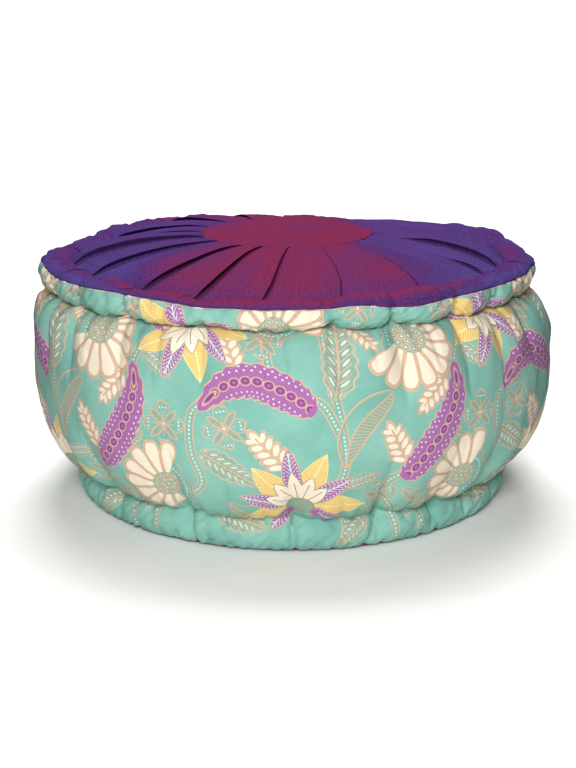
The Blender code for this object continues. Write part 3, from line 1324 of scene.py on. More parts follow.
@dataclass(frozen=True)
class PrintedCotton:
    """Plain-weave cotton, printed, with the cream raw edge under the top seam."""

    ground: str = "8cc0b2"
    deep: str = "74ac9e"
    roughness: float = 0.88
    weave: float = 0.85
    edge: float = 1.1
    frayed: str = "d9d3bd"

    def build(self) -> Material:
        """The material, which reads the print's layers and the cloth's UV map."""
        sheen = {"Sheen Weight": 0.04, "Sheen Roughness": 0.6}
        matt = {"Roughness": self.roughness, "Specular IOR Level": 0.12, **sheen}
        made, board, shader = principled("print_cotton", matt)
        cloth = board.node("ShaderNodeUVMap", uv_map="cloth").outputs[0]
        across, down, _ = board.parts(cloth)
        patch = board.range(board.noise(cloth, 0.02, 4.0), 0.35, 0.65, 0.0, 1.0)
        colour = self.inked(board, board.mix(srgb(self.deep), srgb(self.ground), patch))
        fringe = board.noise(cloth, 1.0, 2.0, (0.5, 0.0, 1)) * 0.9 + (self.edge - 0.45)
        colour = board.mix(colour, srgb(self.frayed), down < fringe)
        warp, weft = (board.math("SINE", way * (TURN / self.weave)) for way in (across, down))
        threads = warp * weft * 0.5 + 0.5
        slub = board.noise(cloth, 1.0, 2.0, (0.10, 1.6, 1))
        grain = board.noise(cloth, 0.9, 2.0)
        fade = board.range(slub * 0.5 + grain * 0.5 + threads * 0.25, 0.3, 0.95, 0.82, 1.08)
        board.join(board.shaded(colour, fade), shader.inputs["Base Color"])
        crumple = board.noise(cloth, 1.0, 3.0, (0.16, 0.07, 1))
        board.bump(shader, threads * 0.35 + crumple * 1.6, 0.35, 0.0006)
        return made

    def inked(self, board: Board, colour: Socket) -> Socket:
        """Lays the inks of every pass on the cloth.

        Args:
            board: The material's node tree.
            colour: The ground colour.

        Returns:
            The printed colour.
        """
        for one in LAYOUT:
            place = board.node("ShaderNodeAttribute", attribute_name=one.attribute)
            along, across, printed = board.parts(place.outputs["Vector"])
            here = printed > 0.5
            drawn = board.node("ShaderNodeGroup", node_tree=one.motif.group())
            board.join(along, drawn.inputs[0])
            board.join(across, drawn.inputs[1])
            masks = {output.name: Wire(board, output) & here for output in drawn.outputs}
            for ink in Ink:
                if ink.name in masks:
                    colour = board.mix(colour, srgb(ink.value), masks[ink.name])
        return colour


@dataclass(frozen=True)
class ShotSilk:
    """Silk of violet one way and magenta the other, mixed by the point attribute called shot, which holds a
    painted sheen.
    """

    name: str
    blue: str = "4c3c78"
    violet: str = "4e2e66"
    magenta: str = "742849"
    tint: str = "a070d0"
    roughness: float = 0.55

    def build(self) -> Material:
        """The material, which reads the cloth's UV map."""
        sheen = {"Sheen Weight": 0.012, "Sheen Roughness": 0.4, "Sheen Tint": srgb(self.tint)}
        soft = {"Roughness": self.roughness, "Specular IOR Level": 0.0, **sheen}
        made, board, shader = principled(self.name, soft)
        cloth = board.node("ShaderNodeUVMap", uv_map="cloth").outputs[0]
        shot = Wire(board, board.node("ShaderNodeAttribute", attribute_name="shot").outputs["Fac"])
        patch = board.noise(cloth, 1.0, 3.0, (0.035, 0.02, 1))
        streak = board.noise(cloth, 1.0, 2.0, (1.6, 0.06, 1))
        slub = board.noise(cloth, 1.0, 2.0, (0.08, 1.5, 1))
        ramp_node = board.node("ShaderNodeValToRGB")
        # The shot attribute's painted sheen, with random patches, streaks and slubs of the weave
        level = shot + (patch - 0.5) * 0.55 + (streak - 0.5) * 0.25 + (slub - 0.5) * 0.2
        board.join(level, ramp_node.inputs[0])
        stops = ramp_node.color_ramp.elements
        stops[0].position, stops[0].color = 0.0, srgb(self.blue)
        stops[1].position, stops[1].color = 0.95, srgb(self.magenta)
        stops.new(0.38).color = srgb(self.violet)
        grain = board.range(board.noise(cloth, 0.7, 3.0), 0.3, 0.7, 0.70, 1.26)
        board.join(board.shaded(ramp_node.outputs[0], grain), shader.inputs["Base Color"])
        board.bump(shader, slub + streak * 0.6, 0.2, 0.0004)
        return made


@dataclass(frozen=True)
class Thread:
    """Waxed sewing thread, with its ply as a fine noise bump."""

    colour: str = "86b3a4"
    dark: str = "5f8d80"

    def build(self) -> Material:
        """The material."""
        made, board, shader = principled("stitch_thread", {"Roughness": 0.7})
        place = board.node("ShaderNodeTexCoord").outputs["Object"]
        grain = board.noise(place, 900.0, 2.0)
        colour = board.mix(srgb(self.dark), srgb(self.colour), board.range(grain, 0.35, 0.65, 0.0, 1.0))
        board.join(colour, shader.inputs["Base Color"])
        board.bump(shader, grain, 0.4, 0.0002)
        return made


@dataclass
class ClothTrial:
    """A cloth simulation of the gathered band, read back as the height of its wrinkles.

    A coarse band is held at its seams and grooves. Its rest shape is wider than it is tall, so it buckles
    between them as gathered cloth does, while the filling pushes from inside. Only the wrinkles are kept:
    the broad swelling is taken out, so that the band keeps its outline.
    """

    skin: Skin
    columns: int = 480
    rows: int = 78
    frames: int = 22
    magnify: float = 10.0
    gathered: float = 0.08
    pressure: float = 4.0
    bending: float = 0.7
    seam_hold: float = 0.0040
    groove_hold: float = 0.0035
    limit: float = 0.0034
    broadest: float = 22.0
    wrinkles: Array = field(init=False)
    arcs: Array = field(init=False)

    def __post_init__(self) -> None:
        self.arcs = np.linspace(0.0, self.skin.section.end, self.rows)
        self.wrinkles = np.zeros((self.rows, self.columns))
        self.run()

    def run(self) -> None:
        """Builds the coarse band, lets it move, and keeps its wrinkles."""
        scene = bpy.context.scene
        steps = full_turn(self.columns)
        angles, arcs = np.meshgrid(steps[:-1], self.arcs, indexing="xy")
        start = self.skin.place(angles, arcs, 0.0003 * Ripple(61, (20, 90), (0.02, 0.2), 40)(angles, arcs))
        mesh = Lathe(start * self.magnify, steps, self.arcs).mesh("cloth_trial", raw=True)
        trial = linked("cloth_trial", mesh)
        self.hold(trial)
        cloth = trial.modifiers.new("cloth", "CLOTH")
        self.tune(cloth)
        scene.frame_start, scene.frame_end = 1, self.frames
        cloth.point_cache.frame_start, cloth.point_cache.frame_end = 1, self.frames
        for frame in range(1, self.frames + 1):
            scene.frame_set(frame)
        graph = bpy.context.evaluated_depsgraph_get()
        moved = np.empty(start.size)
        trial.evaluated_get(graph).data.vertices.foreach_get("co", moved)
        scene.frame_set(1)
        bpy.data.objects.remove(trial)
        gone = moved.reshape(start.shape) / self.magnify - start
        self.keep(gone, angles, arcs)

    def hold(self, trial: Thing) -> None:
        """Pins the band's edges and its two grooves, and lets go between them.

        Args:
            trial: The coarse band.
        """
        group = trial.vertex_groups.new(name="held")
        skin = self.skin
        for row, arc in enumerate(self.arcs):
            ends = min(arc, skin.section.end - arc)
            groove = min(abs(arc - skin.top_groove), abs(arc - skin.foot_groove))
            weight = max(0.0, 1 - ends / self.seam_hold, 1 - groove / self.groove_hold)
            if weight > 0:
                first = row * self.columns
                group.add(list(range(first, first + self.columns)), weight, "REPLACE")

    def tune(self, cloth: bpy.types.ClothModifier) -> None:
        """Sets the cloth's stiffness, pressure and pins.

        Args:
            cloth: The band's modifier.
        """
        chosen = {
            "quality": 6,
            "mass": 0.3,
            "tension_stiffness": 18,
            "compression_stiffness": 12,
            "shear_stiffness": 6,
            "bending_stiffness": self.bending,
            "air_damping": 2.5,
            "vertex_group_mass": "held",
            "pin_stiffness": 1.0,
            "use_pressure": True,
            "uniform_pressure_force": self.pressure,
            "shrink_min": -self.gathered,
            "shrink_max": -self.gathered,
        }
        for name, value in chosen.items():
            setattr(cloth.settings, name, value)
        cloth.settings.effector_weights.gravity = 0.0
        cloth.collision_settings.use_self_collision = False
        cloth.collision_settings.use_collision = False

    def keep(self, gone: Array, angles: Array, arcs: Array) -> None:
        """Keeps the short waves of the movement out of the surface, within the limit.

        Args:
            gone: How far each point of the band moved.
            angles: The points' angles.
            arcs: The points' arc lengths.
        """
        at = self.skin.section.at
        height = (gone * spot(at("out_r", arcs), angles, at("out_z", arcs))).sum(-1)
        LOG.info("cloth trial: moved %.1f to %.1f mm", height.min() / MM, height.max() / MM)
        pace = np.fft.fftfreq(self.columns, 1 / self.columns)
        waves = np.fft.fft(height, axis=1) * (1 - hill(pace, self.broadest))
        short = np.fft.ifft(waves, axis=1).real
        self.wrinkles = self.limit * np.tanh(short / self.limit)
        LOG.info("cloth trial: wrinkles of %.2f mm rms", self.wrinkles.std() / MM)

    def __call__(self, angle: Array, arc: Array) -> Array:
        """Height of the wrinkles at a place.

        Args:
            angle: Angles round the cushion.
            arc: Arc lengths down the band.

        Returns:
            The height, in metres.
        """
        across = ((angle + math.pi) / TURN * self.columns) % self.columns
        down = np.clip(arc / self.arcs[-1] * (self.rows - 1), 0, self.rows - 1.001)
        left, top = np.floor(across).astype(int), np.floor(down).astype(int)
        share_x, share_y = smooth(across - left), smooth(down - top)
        right = (left + 1) % self.columns
        left = left % self.columns
        upper = self.wrinkles[top, left] * (1 - share_x) + self.wrinkles[top, right] * share_x
        lower = self.wrinkles[top + 1, left] * (1 - share_x) + self.wrinkles[top + 1, right] * share_x
        return upper * (1 - share_y) + lower * share_y


@dataclass
class SideBand:
    """The filled drum: the printed band, its two rolls, and what the silk covers."""

    columns: int = 720
    pitch: float = 0.00162
    fill: float = 0.85
    skin: Skin = field(init=False)
    trial: ClothTrial = field(init=False)

    DEEP_FOLD = 9.4
    GROOVE = (
        Row(0.1824, 0.1639, -50, 0.0072),
        Row(0.1776, 0.1629, -35, 0.0078),
        Row(0.1826, 0.1620, -35, 0.0082),
    )
    SIDE = (
        Row(0.1860, 0.1606, -35, 0.0086),
        Row(0.1905, 0.1572, -25, 0.0080),
        Row(0.1944, 0.1500, -15, 0.0064),
        Row(0.1970, 0.1400, -8, 0.0050),
        Row(0.1988, 0.1270, 0, 0.0034, 0.0003),
        Row(0.2000, 0.1100, 0, 0.0021, 0.0008),
        Row(0.1993, 0.0870, 0, 0.0012, 0.0014),
        Row(0.1965, 0.0710, -4, 0.0006, 0.0024),
        Row(0.1925, 0.0585, -8, 0.0003, 0.0036),
        Row(0.1862, 0.0445, -12, 0.0, 0.0052),
        Row(0.1798, 0.0345, -15, 0.0, 0.0068),
        Row(0.1735, 0.0286, -20, 0.0, 0.0074),
        Row(0.1672, 0.0258, -10, 0.0, 0.0068),
        Row(0.1650, 0.0246, 0, 0.0, 0.0060),
    )
    HIDDEN = ((0.120, 0.1880), (0.168, 0.1760), (0.150, 0.0080), (0.140, 0.0045))

    def __post_init__(self) -> None:
        """Draws the section, and finds its grooves."""
        cover = [TOP_ROLL.row(a, top=0.0040) for a in (60, 50, 40, 32)]
        seam = TOP_ROLL.row(TOP_SEAM, top=0.0040)
        lumps = ((10, 0.0042), (-4, 0.0044), (-18, 0.0048), (-32, 0.0054), (-46, 0.0060), (-60, 0.0066))
        roll = [TOP_ROLL.row(a, top=lump) for a, lump in lumps]
        foot_lumps = ((50, 0.0052), (34, 0.0048), (18, 0.0042), (2, 0.0034), (-14, 0.0026))
        foot_lumps += ((-30, 0.0018), (-46, 0.0011), (FOOT_SEAM + 1.5, 0.0006))
        foot = [FOOT_ROLL.row(a, foot=lump) for a, lump in foot_lumps]
        rows = [*cover, seam, *roll, *self.GROOVE, *self.SIDE, *foot]
        section = Section(rows, start=len(cover), sigma=0.0010)
        self.skin = Skin(section, self.arc_of(section, 0.1790, 0.1630), self.arc_of(section, 0.1650, 0.0246))
        self.trial = ClothTrial(self.skin)

    @staticmethod
    def arc_of(section: Section, radius: float, height: float) -> float:
        """Arc length of the section's point nearest to a place."""
        lines = section.lines
        gone = np.hypot(lines["radius"] - radius, lines["height"] - height)
        return float(section.arc[np.argmin(gone)])

    def relief(self, angle: Array, arc: Array) -> Array:
        """Height of the wrinkles, folds and soft lumps over the plain band.

        Args:
            angle: Angles round the cushion.
            arc: Arc lengths down the band.

        Returns:
            The height, in metres.
        """
        low = Ripple(3, (2, 9), (0.12, 0.4))(angle, arc)
        middle = Ripple(5, (10, 38), (0.04, 0.14))(angle, arc)
        fine = Ripple(7, (50, 120), (0.03, 0.2), 40)(angle, arc)
        below, above = arc - self.skin.top_groove, self.skin.foot_groove - arc
        inside = ramp(np.minimum(below, above), 0, 0.03)
        near = np.exp(-np.maximum(np.minimum(below, above), 0) / 0.022)
        folds = TOP_GATHERS.folds(angle, below, HALF_WIDTH, 21) * np.exp(-np.maximum(below, 0) / 0.06)
        folds = folds + 1.7 * FOOT_GATHERS.folds(angle, above, 0.175, 22)
        on_top_roll = ramp(-below, 0, 0.004) * ramp(arc, -0.002, 0.002)
        on_foot_roll = ramp(-above, 0, 0.004)
        roll_folds = Ripple(9, (60, 150), (0.02, 0.06), 40)(angle + 6 * arc, arc)
        creases = self.roll_creases(TOP_STITCHES, angle, below) * on_top_roll
        creases = creases + self.roll_creases(FOOT_STITCHES, angle, above) * on_foot_roll
        total = 0.0012 * low * inside + 0.0006 * middle * inside + 0.00035 * fine * near
        total = total + 0.0006 * folds + 0.0007 * roll_folds * (on_top_roll + on_foot_roll) + creases
        total = total + self.trial(angle, np.clip(arc, 0, self.skin.section.end))
        aside = HALF_WIDTH * around_from(angle, math.radians(self.DEEP_FOLD)) + 0.0015 * np.sin(70 * below)
        deep_fold = hill(aside, 0.0018) * smooth(below, 0, 0.003) * smooth(below, 0.085, 0.035)
        lip = np.exp(-np.maximum(arc, 0) / 0.0015)
        side_seam = hill(np.abs(around_from(angle, math.pi)) * HALF_WIDTH, 0.0024)
        return total - 0.0014 * deep_fold - 0.0008 * lip - 0.0011 * side_seam

    @staticmethod
    def roll_creases(stitches: tuple[Stitch, ...], angle: Array, distance: Array) -> Array:
        """The creases that cross a roll at its stitches, and slant.

        Args:
            stitches: The roll's stitches.
            angle: Angles round the cushion.
            distance: Distance from the stitches, in metres.

        Returns:
            Their height, in metres.
        """
        total = np.zeros(np.broadcast(angle, distance).shape)
        for number, stitch in enumerate(stitches):
            slant = 0.35 * math.sin(2.3 * number + 1)
            across = 0.185 * around_from(angle, math.radians(stitch.angle)) + slant * distance
            total -= 0.0022 * stitch.pull * hill(across, 0.0026)
            total += 0.0007 * stitch.pull * hill(across, 0.008)
        return total

    def build(self, plan: PrintPlan, material: Material) -> Thing:
        """Builds the band.

        Args:
            plan: Where the print's motifs go.
            material: The printed cotton.

        Returns:
            The finished piece, before it is tied to the frame.
        """
        section = self.skin.section
        steps = full_turn(self.columns)
        arcs = np.linspace(0.0, section.end, round(section.end / self.pitch))
        angle, arc = np.meshgrid(steps[:-1], arcs, indexing="xy")
        wave = seam_shift(angle) * np.exp(-arc / 0.009)
        outside = self.skin.place(angle, arc + wave, self.relief(angle, arc))
        top_in = self.skin.place(angle[0], wave[0], -0.003)
        foot_in = self.skin.place(angle[-1], arc[-1], -0.003)
        hidden = [spot(radius, angle[0], height) for radius, height in self.HIDDEN]
        rows = np.stack([*hidden[:2], top_in, *outside, foot_in, *hidden[2:]])
        unprinted = 9.0
        ends = [-unprinted] * 3, [section.end / MM + unprinted] * 3
        along = np.concatenate([ends[0], arcs / MM, ends[1]])
        lathe = Lathe(rows, steps * HALF_WIDTH / MM, along, poles=(0.1950, 0.0045))
        mesh = lathe.mesh("printed_band")
        cloth = lathe.cloth()
        plan.lay(mesh, cloth)
        corner_data(mesh, "cloth", cloth)
        return new_object("printed_band", mesh, material)

class Pleat(NamedTuple):
    """A knife pleat.

    edge is where its folded edge meets the rim, in degrees. late is how late it rises. Where turned is not 0,
    the next pleat laps over this one instead, outside that radius.
    """

    edge: float
    depth: float
    late: float = 1.0
    turned: float = 0.0


PLEATS = (
    Pleat(-58, 0.90),
    Pleat(-37, 0.95),
    Pleat(-22, 0.95),
    Pleat(-5.5, 0.80),
    Pleat(13.5, 0.50),
    Pleat(35, 0.22),
    Pleat(63, 0.34, 1.0, 0.125),
    Pleat(75, 0.55, 1.0, 0.080),
    Pleat(97, 0.95, 1.6),
    Pleat(116, 0.60, 1.9),
    Pleat(136, 0.45),
    Pleat(156, 0.45),
    Pleat(176, 0.50),
    Pleat(197, 0.50),
    Pleat(219, 0.50),
    Pleat(240, 0.55),
    Pleat(262, 0.65),
    Pleat(284, 1.20),
)


@dataclass
class PleatedTop:
    """A ring of silk in knife pleats, from under the disc over the top roll to the seam."""

    pleats: tuple[Pleat, ...] = PLEATS
    offset: float = 0.0140
    panel_steps: int = 30
    turn_steps: int = 10
    rows: int = 88
    roll_rows: int = 22
    fill: float = 0.8

    RADII = (0.0610, 0.0640, 0.0665, 0.0700, 0.0800, 0.1000, 0.1250, 0.1450, 0.1560, 0.1620, 0.1660)
    HEIGHTS = (0.0, 0.0, 0.0006, 0.0016, 0.0028, 0.0044, 0.0062, 0.0066, 0.0052, 0.0028, 0.0012)
    CREST = 0.62
    LAPS = (0.001, 0.001, 0.0016, 0.0022, 0.0032, 0.0045, 0.0060, 0.0064, 0.0050, 0.0034, 0.0024)

    def __post_init__(self) -> None:
        """Draws the section of the crown and roll."""
        radii = np.linspace(self.RADII[0], GROOVE_RADIUS - 0.003, 24)
        crown = [Row(r, float(crown_height(r)), 80) for r in radii]
        groove = Row(GROOVE_RADIUS, GROOVE_HEIGHT - 0.0004, 78, 0.0025)
        lumps = ((152, 0.0030), (130, 0.0034), (108, 0.0038), (86, 0.0040), (64, 0.0040), (44, 0.0040))
        roll = [TOP_ROLL.row(a, top=lump) for a, lump in lumps]
        tail = [TOP_ROLL.row(a, top=0.0040) for a in (TOP_SEAM, 4, -14)]
        self.section = Section([*crown, groove, *roll, *tail], sigma=0.0011)
        lines = self.section.lines
        self.groove = float(self.section.arc[np.argmin(np.abs(lines["radius"] - GROOVE_RADIUS))])
        seam = TOP_ROLL.row(TOP_SEAM)
        self.seam = SideBand.arc_of(self.section, seam.radius, seam.height)
        self.skin = Skin(self.section, self.seam + 0.02, self.section.end + 1.0)

    def columns(self) -> tuple[Array, ...]:
        """Every column round the ring, pleat after pleat.

        Returns:
            Start and width of its pleat in radians, its place on the panel, its share of the way back
            under the fold, the depth and lateness of its pleat, the radii outside which the pleat before it
            and its own are turned, and the depth of the next pleat.
        """
        parts = []
        panel = np.linspace(0, 1, self.panel_steps, endpoint=False)
        turn = np.linspace(0, 1, self.turn_steps, endpoint=False)
        place = np.concatenate([panel, np.ones(self.turn_steps)])
        back = np.concatenate([np.zeros(self.panel_steps), turn])
        lap = self.LAPS[-3] / GROOVE_RADIUS
        before = [Pleat(self.pleats[-1].edge - 360, 0), *self.pleats[:-1]]
        after = [*self.pleats[1:], self.pleats[0]]
        for low, pleat, high in zip(before, self.pleats, after):
            first, last = math.radians(low.edge) - lap, math.radians(pleat.edge) - lap
            kept = (pleat.depth, pleat.late, low.turned, pleat.turned, high.depth)
            same = [np.full(len(place), v) for v in (first, last - first, *kept)]
            parts.append(np.stack([same[0], same[1], place, back, *same[2:]]))
        return tuple(np.concatenate(parts, axis=1))

    def slant(self, radius: Array) -> Array:
        """How far a pleat's line, which passes the middle to one side, has turned since the rim."""
        inner = np.minimum(radius, GROOVE_RADIUS)
        return np.arcsin(self.offset / inner) - math.asin(self.offset / GROOVE_RADIUS)

    def build(self, material: Material) -> Thing:
        """Builds the ring: its face, then its back a cloth's thickness below.

        Args:
            material: The silk.

        Returns:
            The finished piece, before it is tied to the frame.
        """
        start, width, place, back, depth, late, begins, ends, after = self.columns()
        crown_arcs = np.linspace(0.0, self.groove, self.rows, endpoint=False)
        roll_arcs = np.linspace(self.groove, self.seam, self.roll_rows)
        arcs = np.concatenate([crown_arcs, roll_arcs])[:, None]
        radius = self.section.at("radius", arcs)
        on_crown = arcs < self.groove
        height = np.where(on_crown, np.interp(radius, self.RADII, self.HEIGHTS), 0.0012)
        lap = np.where(on_crown, np.interp(radius, self.RADII, self.LAPS), 0.0024)
        fade = ramp(arcs, self.seam, self.groove)
        height = np.where(on_crown, height, height * fade + 0.0002)
        lap = np.where(on_crown, lap, lap * fade + 0.0002)
        inward = ramp(arcs, self.groove, 0)
        slant = self.slant(radius) + 0.007 * np.sin(math.pi * inward) * np.sin(5 * start + 0.7)
        turned = ends > 0
        begins = np.where(begins > 0, smooth(radius, begins, begins + 0.035), 0.0)
        ends = np.where(turned, smooth(radius, ends, ends + 0.035), 0.0)
        lap = lap * np.where(turned, np.maximum(ends, 0.1), 1.0)
        span = width + lap / radius
        tucked = (1.0 - back) ** 0.6
        round_edge = 0.0010 * np.sin(math.pi * back) * (1 - back) / radius * ~turned
        under = width + lap / radius * (1 - back) + round_edge
        angle = start + slant + np.where(back > 0, under, span * place)
        crest = self.CREST * math.pi
        arch = np.sin(crest * place**late) / math.sin(crest) * (1 - turned * place**2)
        panel = depth * np.maximum(arch, begins * hill(place, 0.35))
        fold = height * np.where(back > 0, np.where(turned, after * ends * back**0.6, depth * tucked), panel)
        relief = fold + self.wrinkles(angle, arcs, back)
        face = self.skin.place(angle, arcs + self.wave(angle, arcs), relief)
        tuck = self.RADII[2] + 0.001
        face[..., 2] -= 0.0016 * ramp(radius, tuck, tuck - 0.004)
        back_arcs = np.linspace(self.seam, 0.0, 14)[:, None]
        steps = self.panel_steps + self.turn_steps
        plain = start + width * (np.arange(len(start)) % steps) / steps
        plain = plain + self.slant(self.section.at("radius", back_arcs))
        lining = self.skin.place(plain, back_arcs + self.wave(plain, back_arcs), -0.0022)
        hem = self.skin.place(angle[-1:], arcs[-1:] + self.wave(angle[-1:], arcs[-1:]) + 0.0004, -0.0004)
        rows = np.concatenate([face, hem, lining])
        mm_arcs = np.concatenate([arcs[:, 0], [self.seam], back_arcs[:, 0]]) / MM
        across = np.append(start + width * place, start[0] + TURN) * 0.12 / MM
        lathe = Lathe(rows, across, mm_arcs, ring=True)
        mesh = lathe.mesh("pleated_ring")
        corner_data(mesh, "cloth", lathe.cloth())
        # Painted sheen of the shot silk, kept at each point for the material
        shot = self.shot(angle, arcs, radius, place)
        tail = np.broadcast_to(shot[-1:], (len(lining) + 1, shot.shape[1]))
        point_data(mesh, "shot", np.concatenate([shot, tail]))
        return new_object("pleated_ring", mesh, material)

    def wave(self, angle: Array, arcs: Array) -> Array:
        """How far the seam wanders down the roll, fading to nothing over its crest."""
        return seam_shift(angle) * np.exp(-np.maximum(self.seam - arcs, 0) / 0.009)

    def wrinkles(self, angle: Array, arcs: Array, back: Array) -> Array:
        """Small pulls along the pleats, puckers over the roll, and creases at the stitches.

        Args:
            angle: Angles round the cushion.
            arcs: Arc lengths out from the disc.
            back: Share of the way back under a fold.

        Returns:
            Their height, in metres.
        """
        along = Ripple(31, (70, 160), (0.08, 0.4), 40)(angle, arcs)
        soft = Ripple(33, (8, 30), (0.05, 0.2))(angle, arcs)
        near_groove = np.exp(-np.abs(arcs - self.groove) / 0.014)
        near_disc = np.exp(-arcs / 0.012)
        on_roll = ramp(arcs, self.groove, self.groove + 0.005)
        puckers = Ripple(35, (40, 110), (0.015, 0.05), 40)(angle + 5 * (arcs - self.groove), arcs)
        creases = SideBand.roll_creases(TOP_STITCHES, angle, self.seam - arcs) * on_roll
        total = along * (0.00015 + 0.0005 * near_groove + 0.0002 * near_disc) + 0.0005 * soft
        return (total + 0.0011 * puckers * on_roll) * (1 - back) + creases + 0.0006 * on_roll

    def shot(self, angle: Array, arcs: Array, radius: Array, place: Array) -> Array:
        """How much of the magenta thread shows: a painted sheen, fixed as it looks from the front.

        Args:
            angle: Angles round the cushion.
            arcs: Arc lengths out from the disc.
            radius: Radii.
            place: Place on the pleat's panel, from 0 to 1.

        Returns:
            The share, mostly from 0 to 1.
        """
        # Painted sheen: magenta where the silk faces the front or the back, violet at the sides, and less
        # magenta on the roll behind
        front_sheen = smooth(np.abs(np.cos(angle)), 0.6, 0.95)
        behind = np.clip(-np.cos(angle), 0, 1) * (arcs > self.groove)
        jitter = np.sin(9.0 * np.round(angle / (TURN / 18)) + 2.0)
        # Painted shade and highlight: bluer where the crown slopes down to the groove and on the roll's lower
        # side, and a magenta highlight along the roll's crest
        outer = ramp(radius, 0.140, 0.166) * (arcs < self.groove)
        crest = hill(arcs - self.groove - 0.012, 0.008)
        under = ramp(arcs, self.seam - 0.014, self.seam - 0.002)
        level = 0.19 + 0.65 * front_sheen + 0.05 * jitter + 0.28 * crest
        level = level - 0.22 * outer - 0.38 * under - 0.3 * behind
        # More magenta towards the disc, and painted sheen towards each pleat's raised edge
        return level + 0.12 * ramp(radius, 0.100, 0.065) + 0.10 * (place - 0.5)


@dataclass
class TopDisc:
    """The plain disc in the middle of the top, its turned edge lying over the pleats."""

    over: float = 0.0012
    rise: float = 0.0006
    columns: int = 360
    fill: float = 0.7

    def build(self, material: Material) -> Thing:
        """Builds the disc: its face, its rounded edge, and its back.

        Args:
            material: The silk.

        Returns:
            The finished piece, before it is tied to the frame.
        """
        steps = full_turn(self.columns)
        angle = steps[:-1]
        reach = DISC_RADIUS + self.over + 0.0005 * Ripple(41, (6, 30), (0.5, 1.0), 16)(angle, 0.0)
        shares = np.concatenate([np.linspace(0.04, 0.94, 26), [0.965, 0.985, 1.0]])
        falls = np.concatenate([np.zeros(26), [0.0001, 0.0005, 0.0016]])
        rows, heights = [], []
        for share, fall in zip(shares, falls):
            radius = reach * share
            near_edge = share**6
            puckers = 0.0006 * near_edge * Ripple(43, (20, 60), (0.5, 1.0), 24)(angle, 0.0)
            soft = 0.0005 * Ripple(45, (1, 5), (0.04, 0.10), 16)(angle, radius)
            heights.append(crown_height(radius) + self.rise + puckers + soft * min(1.0, share * 3) - fall)
            rows.append(radius)
        for share in (0.985, 0.6, 0.2):
            rows.append(reach * share)
            heights.append(crown_height(reach * share) - 0.0018)
        radii, tall = np.array(rows), np.array(heights)
        points = spot(radii, angle, tall)
        top, low = float(tall[0].mean()), float(tall[-1].mean())
        lathe = Lathe(points, steps * 0.04 / MM, radii.mean(axis=1) / MM, poles=(top, low))
        mesh = lathe.mesh("silk_disc")
        corners = np.zeros(len(mesh.loops), np.int32)
        mesh.loops.foreach_get("vertex_index", corners)
        places = np.zeros(len(mesh.vertices) * 3)
        mesh.vertices.foreach_get("co", places)
        flat = places.reshape(-1, 3)[corners, :2] / MM
        corner_data(mesh, "cloth", flat)
        # Nearly all magenta: the painted sheen of the shot silk as it looks from the front, with random tone
        spread = Ripple(47, (1, 4), (0.05, 0.12), 12)(angle, radii)
        point_data(mesh, "shot", 0.93 + 0.10 * spread)
        return new_object("silk_disc", mesh, material)


@dataclass
class BasePanel:
    """The plain underside: flat on the floor, a shallow groove, and its edge under the foot roll."""

    columns: int = 360
    fill: float = 0.6

    def build(self, material: Material) -> Thing:
        """Builds the panel: its back, then its face on the floor.

        Args:
            material: The silk.

        Returns:
            The finished piece, before it is tied to the frame.
        """
        steps = full_turn(self.columns)
        angle = steps[:-1]
        roll = [FOOT_ROLL.row(a, foot=0.0006) for a in np.linspace(FOOT_SEAM - 1, -90, 8)]
        inner = [FOOT_ROLL.row(a) for a in np.linspace(-98, -150, 10)]
        groove = [Row(0.1462, 0.0048, -90), Row(0.1440, 0.0038, -90), Row(0.1410, 0.0016, -90)]
        flat = [Row(r, 0.0, -90) for r in (REST_RADIUS, 0.120, 0.080, 0.040, 0.010)]
        rows = [*roll, *inner, *groove, *flat]
        face = self.placed(rows, angle, 0.0)
        puckers = Ripple(51, (40, 90), (0.5, 1.0), 30)(angle, 0.0)
        for number in range(len(roll) + 4, len(roll) + len(inner) + 2):
            face[number, :, 2] += 0.0006 * np.abs(puckers)
        lining = self.placed(rows[::-1], angle, -0.0018)
        points = np.concatenate([lining, face])
        radii = np.hypot(points[..., 0], points[..., 1]).mean(axis=1)
        lathe = Lathe(points, steps * 0.1 / MM, radii / MM, poles=(0.0018, 0.0))
        mesh = lathe.mesh("silk_base")
        corner_data(mesh, "cloth", lathe.cloth())
        # Painted sheen of the shot silk: more magenta towards the front and back, as on the pleats
        shot = np.broadcast_to(0.75 + 0.1 * np.cos(2 * angle), points.shape[:2])
        point_data(mesh, "shot", shot)
        return new_object("silk_base", mesh, material)

    @staticmethod
    def placed(rows: Sequence[Row], angle: Array, inward: float) -> Array:
        """Rings of points on the rows.

        Args:
            rows: The section's rows.
            angle: Angles round the cushion.
            inward: How far the rings move along each row's lean, in metres.

        Returns:
            The rings, row by row.
        """
        rings = []
        for row in rows:
            pull = row.foot * FOOT_GATHERS.swell(angle, np.zeros_like(angle)) + inward
            lean = math.radians(row.lean)
            radius = row.radius + pull * math.cos(lean)
            height = row.height + pull * math.sin(lean)
            rings.append(spot(radius, angle, height))
        return np.array(rings)


